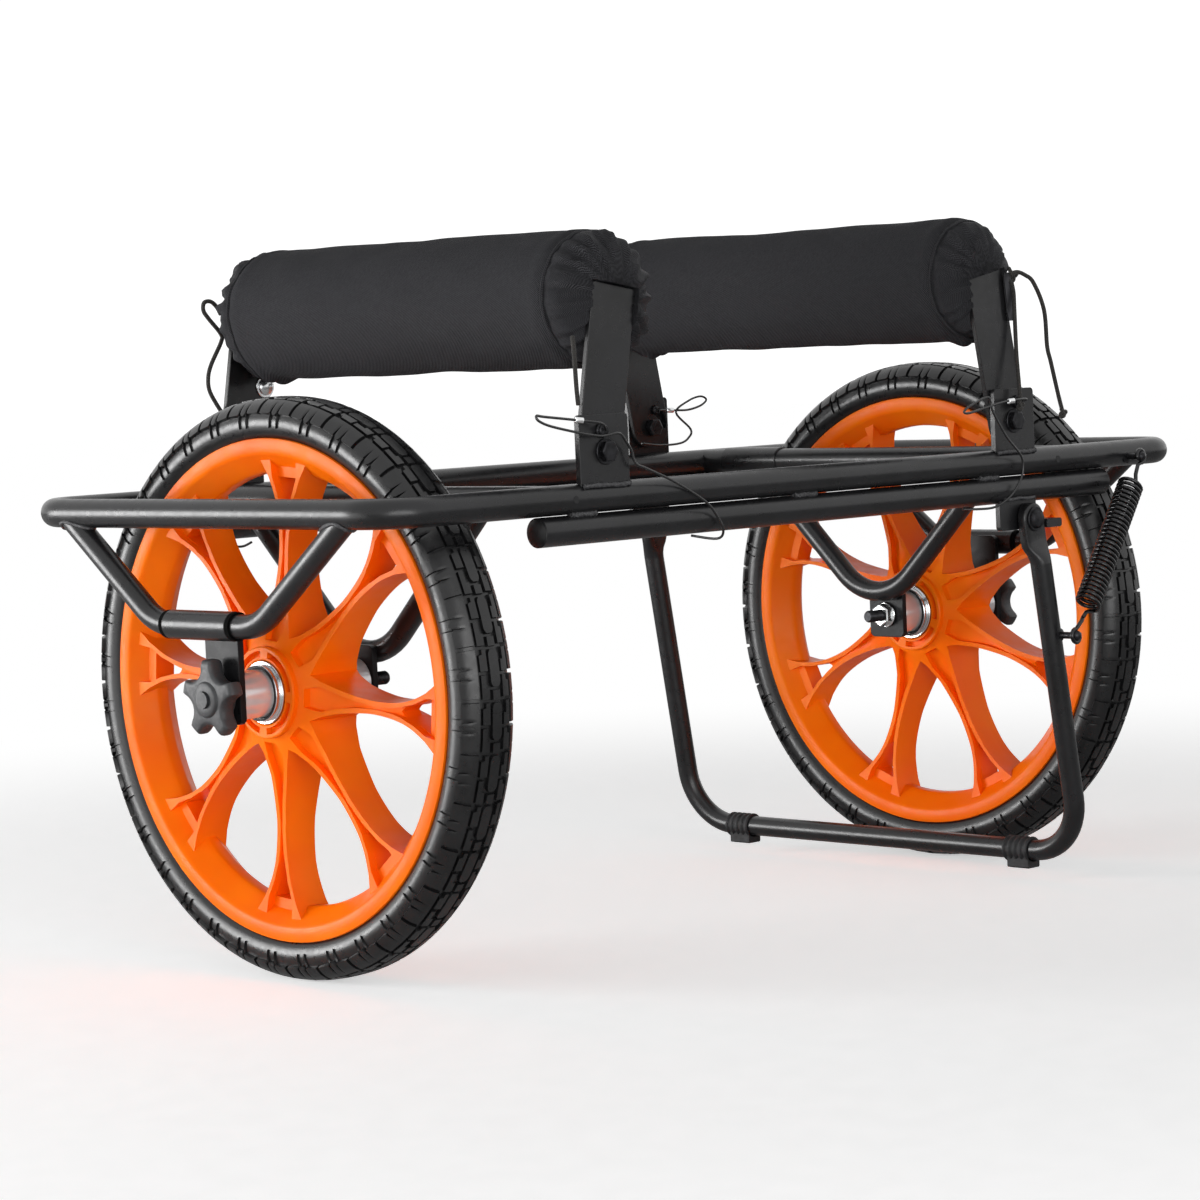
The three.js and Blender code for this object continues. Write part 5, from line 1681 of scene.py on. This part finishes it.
def cradleMatrix(side):
    values = cradle[side]
    lean = Matrix.Rotation(math.radians(-values["sign"] * values["lean"]), 4, "Y")
    return Matrix.Translation((values["x"], 0, values["z"])) @ lean


def addArmBracket(side, end, sign):
    values = cradle[side]
    middle = values["x"] + values["sign"] * hinge["offset"]
    half = hinge["width"] / 2
    near, far = sorted((sign * hinge["inner"], sign * hinge["outer"]))
    bm = bmesh.new()
    outline = roundedOutline(middle - half, hinge["foot"], middle + half, hinge["top"], [1, 1, 3, 3])
    addPlate(bm, outline, near, far, "y")
    tube = bmesh.new()
    railLine = [(middle + reach, sign * rail["halfWidth"], rail["height"]) for reach in (-60, 60)]
    addTube(tube, railLine, hinge["railCut"], 48)
    node = f"arm_bracket_{side}_{end}"
    notched = combined(bm, [(tube, "DIFFERENCE")])
    addPiece(f"armBracket.{side}.{end}", notched, coat, "frame", [node], bevel=0.5)
    weld = bmesh.new()
    seam = []
    for share in (-0.97, -0.5, 0, 0.5, 0.97):
        z = hinge["weldHeight"] + 0.3 * math.sin(9 * share)
        seam.append((middle + half * share, sign * hinge["weldY"], z))
    addBead(weld, seam, hinge["weldBead"], seed=middle)
    addWeld(f"armBracketWeld.{side}.{end}", weld)


def addPivot(side, end, sign):
    values = cradle[side]
    centre = (values["x"], 0, values["z"])
    face = sign * (hinge["outer"] + 0.1)
    far = face + sign * 5.3
    nut = sign * (hinge["armNear"] - 0.3)
    bm = bmesh.new()
    addWasher(bm, hinge["washer"], *sorted((face, face + sign * 1.1)), "y", centre)
    hexProfile(bm, hinge["nut"], *sorted((face + sign * 1, far)), "y", centre, 1)
    hexProfile(bm, hinge["nut"], *sorted((nut, nut - sign * 6)), "y", centre, 1)
    shank, tip = hinge["shank"], nut - sign * 6.4
    addTurned(bm, [(0.4, face), (shank, face), (shank, tip), (0.4, tip)], 24, "y", centre)
    node = f"pivot_bolt_{side}_{end}"
    addPiece(f"pivotBolt.{side}.{end}", bm, oxide, "frame", [node], smooth=30)


def addLockPin(side, end, sign):
    values = cradle[side]
    x = values["x"] + values["sign"] * hinge["pinOut"]
    z = values["z"] + hinge["pinUp"]
    face = sign * (hinge["outer"] + 0.3)
    tip = sign * (hinge["armNear"] - 4)
    radius = hinge["pinRadius"]
    bm = bmesh.new()
    shank = [(0.4, face), (radius, face), (radius, tip + sign * 1.5), (radius - 1.2, tip), (0.4, tip)]
    addTurned(bm, shank, 28, "y", (x, 0, z))
    addTurned(bm, fromFace(hinge["pinHead"], face, sign), 32, "y", (x, 0, z))
    ball = sign * (hinge["armNear"] - 2.2)
    for turn in (0, 180):
        # the small locking balls beside the pin's tip
        way = Matrix.Rotation(math.radians(turn + 35), 4, "Y") @ Vector((radius - 0.3, 0, 0))
        bulge = []
        for a in range(0, 181, 30):
            lean = math.radians(a)
            bulge.append((0.1 + 1.1 * math.sin(lean), ball + 1.1 * math.cos(lean)))
        addTurned(bm, bulge, 12, "y", (x + way.x, 0, z + way.z))
    addPiece(f"lockPin.{side}.{end}", bm, oxide, "frame", [f"lock_pin_{side}_{end}"])


def endCap(turn, reach, half, sign):
    # half a turn round the end of the slot, from its outer edge to its inner edge
    cx, cz = reach * math.cos(turn), reach * math.sin(turn)
    points = []
    for i in range(1, 6):
        angle = turn + sign * math.radians(180 * i / 6)
        points.append((cx + half * math.cos(angle), cz + half * math.sin(angle)))
    return points


def slotOutline(values):
    # the curved slot that the lock pin runs in while the arm folds
    way = values["sign"]
    reach = math.hypot(hinge["pinOut"], hinge["pinUp"])
    start = math.atan2(hinge["pinUp"], way * hinge["pinOut"]) - way * math.radians(values["lean"])
    half = hinge["pinRadius"] + hinge["slotGap"]
    turns = [start - way * math.radians(hinge["swing"]) * i / 12 for i in range(13)]
    outline = [((reach + half) * math.cos(t), (reach + half) * math.sin(t)) for t in turns]
    outline += endCap(turns[-1], reach, half, -way)
    outline += [((reach - half) * math.cos(t), (reach - half) * math.sin(t)) for t in reversed(turns)]
    outline += list(reversed(endCap(turns[0], reach, half, way)))
    return outline


def addArm(side, end, sign):
    half, heel = hinge["armHalf"], hinge["armFoot"]
    near, far = sorted((sign * hinge["armNear"], sign * hinge["armFar"]))
    bm = bmesh.new()
    outline = roundedOutline(-half, -heel, half, hinge["armLength"], [heel, heel, 2.5, 2.5], 8)
    addPlate(bm, outline, near, far, "y")
    slot = bmesh.new()
    addPlate(slot, slotOutline(cradle[side]), near - 3, far + 3, "y")
    node = f"arm_{side}_{end}"
    whole = combined(bm, [(slot, "DIFFERENCE")])
    addPiece(
        f"arm.{side}.{end}", whole, coat, f"{side}_cradle", [node], bevel=0.6,
        matrix=cradleMatrix(side),
    )


def addPadScrew(side, sign):
    # its washer and domed head, on the inner face of an arm
    bm = bmesh.new()
    inside = sign * (hinge["armNear"] - 4)
    addWasher(bm, 8.4, *sorted((inside + sign * 3.9, inside + sign * 2.8)), "y", hinge["screw"])
    addTurned(bm, fromFace(hinge["screwDome"], inside, sign), 32, "y", hinge["screw"])
    addPiece("padScrew", bm, zinc, f"{side}_cradle", matrix=cradleMatrix(side))


for sideName in sideSigns:
    for endName, endSign in endSigns.items():
        addArmBracket(sideName, endName, endSign)
        addPivot(sideName, endName, endSign)
        addLockPin(sideName, endName, endSign)
        addArm(sideName, endName, endSign)
addPadScrew("left", 1)
print("cradle arms made")


# Pads: bolsters of woven polyester with gathered ends
pad = {
    "halfLength": 195,
    "voxel": 5.0,
    "pressure": 4,
    "cap": 5,
    "seamFront": {"left": -165.5, "right": -173},
    "seamBack": {"left": 165, "right": 168},
    # (share of the half length, share of the radius)
    "shares": [
        (0, 0.985), (0.7, 1.0), (0.845, 0.985), (0.885, 0.975),
        (0.925, 0.92), (0.96, 0.74), (0.985, 0.55), (1, 0.3),
    ],
    "folds": 17,
    "ears": {"left": (1,), "right": (-1, 1)},
    "dent": 1.1,
    "wrinkle": 0.9,
    "tuck": 1.6,
    "swell": 0.8,
    "ear": 4.5,
    "foldDepth": (0.8, 4.4),
    "endTuck": 1.8,
    "around": 64,
    "rings": 80,
    "strap": [(209, 466, 4.4), (209.6, 458, 4.8), (210.4, 446, 4.6), (211.4, 436, 4.4), (212, 430, 3.6)],
    # the openings that the arms reach into: their gaps, their foot and their far side
    "sideGap": 0.6,
    "armGap": 0.5,
    "cutTo": (-120, 210),
    "strapY": -191.6,
    "strapHalf": 0.9,
}


def padRadiusShare(share):
    for (a, low), (b, high) in zip(pad["shares"], pad["shares"][1:]):
        if share <= b:
            t = (share - a) / (b - a)
            return low + (high - low) * t * t * (3 - 2 * t)
    return pad["shares"][-1][1]


def padForm(radius):
    bm = bmesh.new()
    rings = []
    steps, around = pad["rings"], pad["around"]
    for i in range(steps + 1):
        share = math.sin(math.pi * (i / steps - 0.5))
        y = share * pad["halfLength"] * 0.995
        size = radius * padRadiusShare(abs(share))
        ring = []
        for k in range(around):
            turn = 2 * math.pi * k / around
            ring.append(Vector((size * math.sin(turn), y, size * math.cos(turn))))
        rings.append(ring)
    addLoft(bm, rings)
    bmesh.ops.recalc_face_normals(bm, faces=bm.faces)
    return bm


def inflated(bm):
    # the cover blown up a little by cloth simulation, its points held to a short way
    piece = bareObject("padCloth", bm)
    for vertex in piece.data.vertices:
        vertex.co = vertex.co * mm
    remesh = piece.modifiers.new("voxels", "REMESH")
    remesh.mode = "VOXEL"
    remesh.voxel_size = pad["voxel"] * mm
    start = bakedMesh(piece)
    piece.modifiers.clear()
    piece.data = start
    before = [vertex.co.copy() for vertex in start.vertices]
    cloth = piece.modifiers.new("cover", "CLOTH")
    cloth.settings.use_pressure = True
    cloth.settings.uniform_pressure_force = pad["pressure"]
    cloth.settings.effector_weights.gravity = 0
    cloth.settings.quality = 5
    for step in range(1, 21):
        scene.frame_set(step)
    piece.data = bakedMesh(piece)
    piece.modifiers.clear()
    scene.frame_set(1)
    for vertex, old in zip(piece.data.vertices, before):
        move = vertex.co - old
        if move.length > pad["cap"] * mm:
            vertex.co = old + move.normalized() * pad["cap"] * mm
    soft = piece.modifiers.new("smooth", "SUBSURF")
    soft.levels = 1
    mesh = bakedMesh(piece)
    bpy.data.objects.remove(piece)
    for vertex in mesh.vertices:
        vertex.co = vertex.co / mm
    return mesh


def bakedMesh(piece):
    bpy.context.view_layer.update()
    graph = bpy.context.evaluated_depsgraph_get()
    return bpy.data.meshes.new_from_object(piece.evaluated_get(graph))


def shapeCover(mesh, side):
    # dents of the foam, the tuck at each seam and the folds that gather towards the arms
    way = cradle[side]["sign"]
    for vertex in mesh.vertices:
        x, y, z = vertex.co
        radius = math.hypot(x, z)
        if radius < 0.5:
            continue
        angle = math.atan2(x, z)
        seam = pad["seamFront"][side] if y < 0 else pad["seamBack"][side]
        past = (abs(y) - abs(seam)) / (pad["halfLength"] - abs(seam))
        near = abs(abs(y) - abs(seam))
        change = pad["dent"] * noise.noise(Vector((x * 0.02, y * 0.014 + way * 9, z * 0.02)))
        if past < 0:
            change += pad["wrinkle"] * noise.noise(Vector((x * 0.06, y * 0.03, z * 0.06 + way * 5)))
            change -= pad["tuck"] * math.exp(-(near / 3.2) ** 2)
            change += pad["swell"] * math.exp(-((near - 9) / 5) ** 2)
            if math.copysign(1, y) in pad["ears"][side]:
                # the slack of the cover hangs in a small point under its end
                change += pad["ear"] * math.exp(-((abs(angle) - 3.0) / 0.2) ** 2 - ((near - 5) / 9) ** 2)
        else:
            spot = Vector((math.sin(angle) * 1.5, math.cos(angle) * 1.5, way * 3 + math.copysign(2, y)))
            bend = 2.2 * noise.noise(spot)
            count = pad["folds"]
            wave = math.cos(count * angle + bend * 2 + past * 0.8)
            second = math.cos((count * 2 - 3) * angle - bend * 3)
            least, more = pad["foldDepth"]
            depth = (least + more * smoothStep(past, 0.05, 0.7)) * (1 - 0.5 * smoothStep(past, 0.8, 1))
            crease = noise.noise(Vector((x * 0.09, y * 0.09, z * 0.09 + way * 4)))
            pleat = abs(wave) ** 0.7 * math.copysign(1, wave)
            change += depth * (pleat * 0.5 + 0.25 * second + 0.9 * crease - 0.35)
            change -= pad["endTuck"] * math.exp(-(near / 3) ** 2)
        scale = 1 + change / radius
        vertex.co = Vector((x * scale, y, z * scale))


def cutForArms(bm, values):
    # the cover is open where the two arms reach into its ends
    half = hinge["armHalf"] + pad["sideGap"]
    top = hinge["armLength"] - values["lift"] + pad["armGap"]
    left, right = -half - values["shift"], half - values["shift"]
    bottom, outer = pad["cutTo"]
    cuts = []
    for sign in (-1, 1):
        box = bmesh.new()
        low, high = sorted((sign * (hinge["armNear"] - pad["armGap"]), sign * outer))
        addPlate(box, [(left, bottom), (right, bottom), (right, top), (left, top)], low, high, "y")
        cuts.append((box, "DIFFERENCE"))
    return combined(bm, cuts)


def coverTree(mesh):
    bm = bmesh.new()
    bm.from_mesh(mesh)
    tree = BVHTree.FromBMesh(bm)
    bm.free()
    return tree


def onCover(tree, angle, y, above):
    way = Vector((math.sin(angle), 0, math.cos(angle)))
    spot = tree.ray_cast(way * 80 + Vector((0, y, 0)), -way)[0]
    return spot + way * above if spot else way * 46 + Vector((0, y, 0))


def addPad(side):
    values = cradle[side]
    mesh = inflated(padForm(values["radius"]))
    shapeCover(mesh, side)
    tree = coverTree(mesh)
    origin = cradleMatrix(side) @ Matrix.Translation((values["shift"], 0, values["lift"]))
    bm = bmesh.new()
    bm.from_mesh(mesh)
    node = f"pad_{side}"
    cover = addCover(f"pad.{side}", cutForArms(bm, values), origin, [twill, lining], side, [node])
    for face in cover.data.polygons:
        y = face.center.y / mm
        seam = pad["seamFront"][side] if y < 0 else pad["seamBack"][side]
        face.material_index = 1 if abs(y) > abs(seam) else 0
    for y in (pad["seamFront"][side], pad["seamBack"][side]):
        # piping sewn into the seam
        piping = bmesh.new()
        turns = [2 * math.pi * i / 96 for i in range(96)]
        ring = [onCover(tree, turn, y + 0.5 * math.sin(3 * turn), 0.5) for turn in turns]
        addTube(piping, ring, 1.25, 10, closed=True)
        addCover(f"piping.{side}.{'front' if y < 0 else 'back'}", piping, origin, [lining], side)


def addCover(name, bm, origin, materials, side, replaces=()):
    # a soft piece whose own axes lie along the pad, so that the weave follows it
    placed = toFrame @ origin
    upright = Matrix.Translation(placed.translation) @ placed.to_3x3().normalized().to_4x4()
    bmesh.ops.transform(bm, matrix=Matrix.Scale(mm, 4), verts=bm.verts)
    bmesh.ops.recalc_face_normals(bm, faces=bm.faces)
    piece = bpy.data.objects.new(name, bpy.data.meshes.new(name))
    bm.to_mesh(piece.data)
    bm.free()
    for material in materials:
        piece.data.materials.append(material)
    piece.data.shade_smooth()
    piece.data.set_sharp_from_angle(angle=math.radians(62))
    scene.collection.objects.link(piece)
    piece.matrix_world = upright
    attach(piece, f"{side}_cradle")
    if replaces:
        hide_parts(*replaces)
    return piece


def addStrapEnd():
    # the stitched end of the webbing that hangs beside the right front arm
    bm = bmesh.new()
    y, thick = pad["strapY"], pad["strapHalf"]
    rings = []
    for x, z, wide in pad["strap"]:
        corners = [(-wide, -thick), (wide, -thick), (wide, thick), (-wide, thick)]
        rings.append([Vector((x + a, y + b, z)) for a, b in corners])
    addLoft(bm, rings)
    addPiece("strapEnd", bm, lining, "right_cradle", bevel=0.5)


for sideName in sideSigns:
    addPad(sideName)
addStrapEnd()
print("pads made")


# Floor, lamps and world: pale, soft and even
studio = {
    "floorSize": 30,
    "shadowReach": (0.7, 1.6),
    "ambient": {"side": 1.15, "top": 0.08},
    "lift": 0.5,
    "key": {"size": 1.4, "power": 62, "place": (-1920, 1820, 215)},
    "front": {"size": 2.2, "power": 46, "place": (-1500, -2400, 120)},
    "low": {"size": 0.9, "power": 3, "place": (-1250, 250, 60)},
}


def addFloor():
    bm = bmesh.new()
    bmesh.ops.create_grid(bm, x_segments=1, y_segments=1, size=studio["floorSize"] / 2)
    mesh = bpy.data.meshes.new("floor")
    bm.to_mesh(mesh)
    bm.free()
    floor = bpy.data.objects.new("floor", mesh)
    scene.collection.objects.link(floor)
    # white painted board that keeps the cart's shadow, and turns plain white away from it
    material, tree, shader = newMaterial("whitePaintedBoard", {"Roughness": 0.9, "Specular IOR Level": 0.1})
    speckle = addNode(tree, "ShaderNodeTexNoise", {"Scale": 40, "Detail": 2}, {"Vector": place(tree)})
    tree.links.new(tint(tree, speckle.outputs["Fac"], "#efefef", "#f6f6f6"), shader.inputs["Base Color"])
    path = addNode(tree, "ShaderNodeLightPath")
    near, far = studio["shadowReach"]
    away = addNode(tree, "ShaderNodeVectorMath", {"operation": "LENGTH"}, {0: place(tree)}).outputs["Value"]
    fade = addNode(
        tree, "ShaderNodeMapRange",
        {"From Min": near, "From Max": far, "interpolation_type": "SMOOTHSTEP"},
        {"Value": away},
    )
    shown = worked(tree, "MULTIPLY", path.outputs["Is Camera Ray"], fade.outputs["Result"])
    white = addNode(tree, "ShaderNodeEmission", {"Color": (1, 1, 1, 1), "Strength": 1.0})
    glow = worked(tree, "MULTIPLY", path.outputs["Is Camera Ray"], studio["lift"])
    lifted = addNode(tree, "ShaderNodeEmission", {"Color": (1, 1, 1, 1)}, {"Strength": glow})
    both = addNode(tree, "ShaderNodeAddShader", None, {0: shader.outputs[0], 1: lifted.outputs[0]})
    mix = addNode(tree, "ShaderNodeMixShader", None, {0: shown, 1: both.outputs[0], 2: white.outputs[0]})
    tree.links.new(mix.outputs[0], tree.nodes["Material Output"].inputs["Surface"])
    mesh.materials.append(material)


def addLamp(name, values):
    lamp = bpy.data.lights.new(name, "AREA")
    lamp.shape = "DISK"
    lamp.size = values["size"]
    lamp.energy = values["power"]
    holder = bpy.data.objects.new(name, lamp)
    scene.collection.objects.link(holder)
    holder.location = at(*values["place"])
    holder.rotation_euler = (at(0, 0, 250) - holder.location).to_track_quat("-Z", "Y").to_euler()


def addWorld():
    world = bpy.data.worlds.new("studio")
    scene.world = world
    world.use_nodes = True
    tree = world.node_tree
    background = tree.nodes["Background"]
    background.inputs["Color"].default_value = (1, 1, 1, 1)
    path = addNode(tree, "ShaderNodeLightPath")
    seen = worked(tree, "MAXIMUM", path.outputs["Is Camera Ray"], path.outputs["Is Glossy Ray"])
    seen = worked(tree, "MAXIMUM", seen, path.outputs["Is Transmission Ray"])
    # the fill comes from the pale walls, less from above
    ambient = studio["ambient"]
    generated = addNode(tree, "ShaderNodeTexCoord").outputs["Generated"]
    way = addNode(tree, "ShaderNodeSeparateXYZ", None, {"Vector": generated})
    fill = addNode(
        tree, "ShaderNodeMapRange",
        {"From Min": 0.05, "From Max": 0.6, "To Min": ambient["side"], "To Max": ambient["top"]},
        {"Value": way.outputs["Z"]},
    ).outputs["Result"]
    strength = worked(tree, "MAXIMUM", seen, fill)
    tree.links.new(strength, background.inputs["Strength"])


addFloor()
for lampName in ("key", "front", "low"):
    addLamp(lampName, studio[lampName])
addWorld()
scene.view_settings.view_transform = "Standard"
print("studio set")
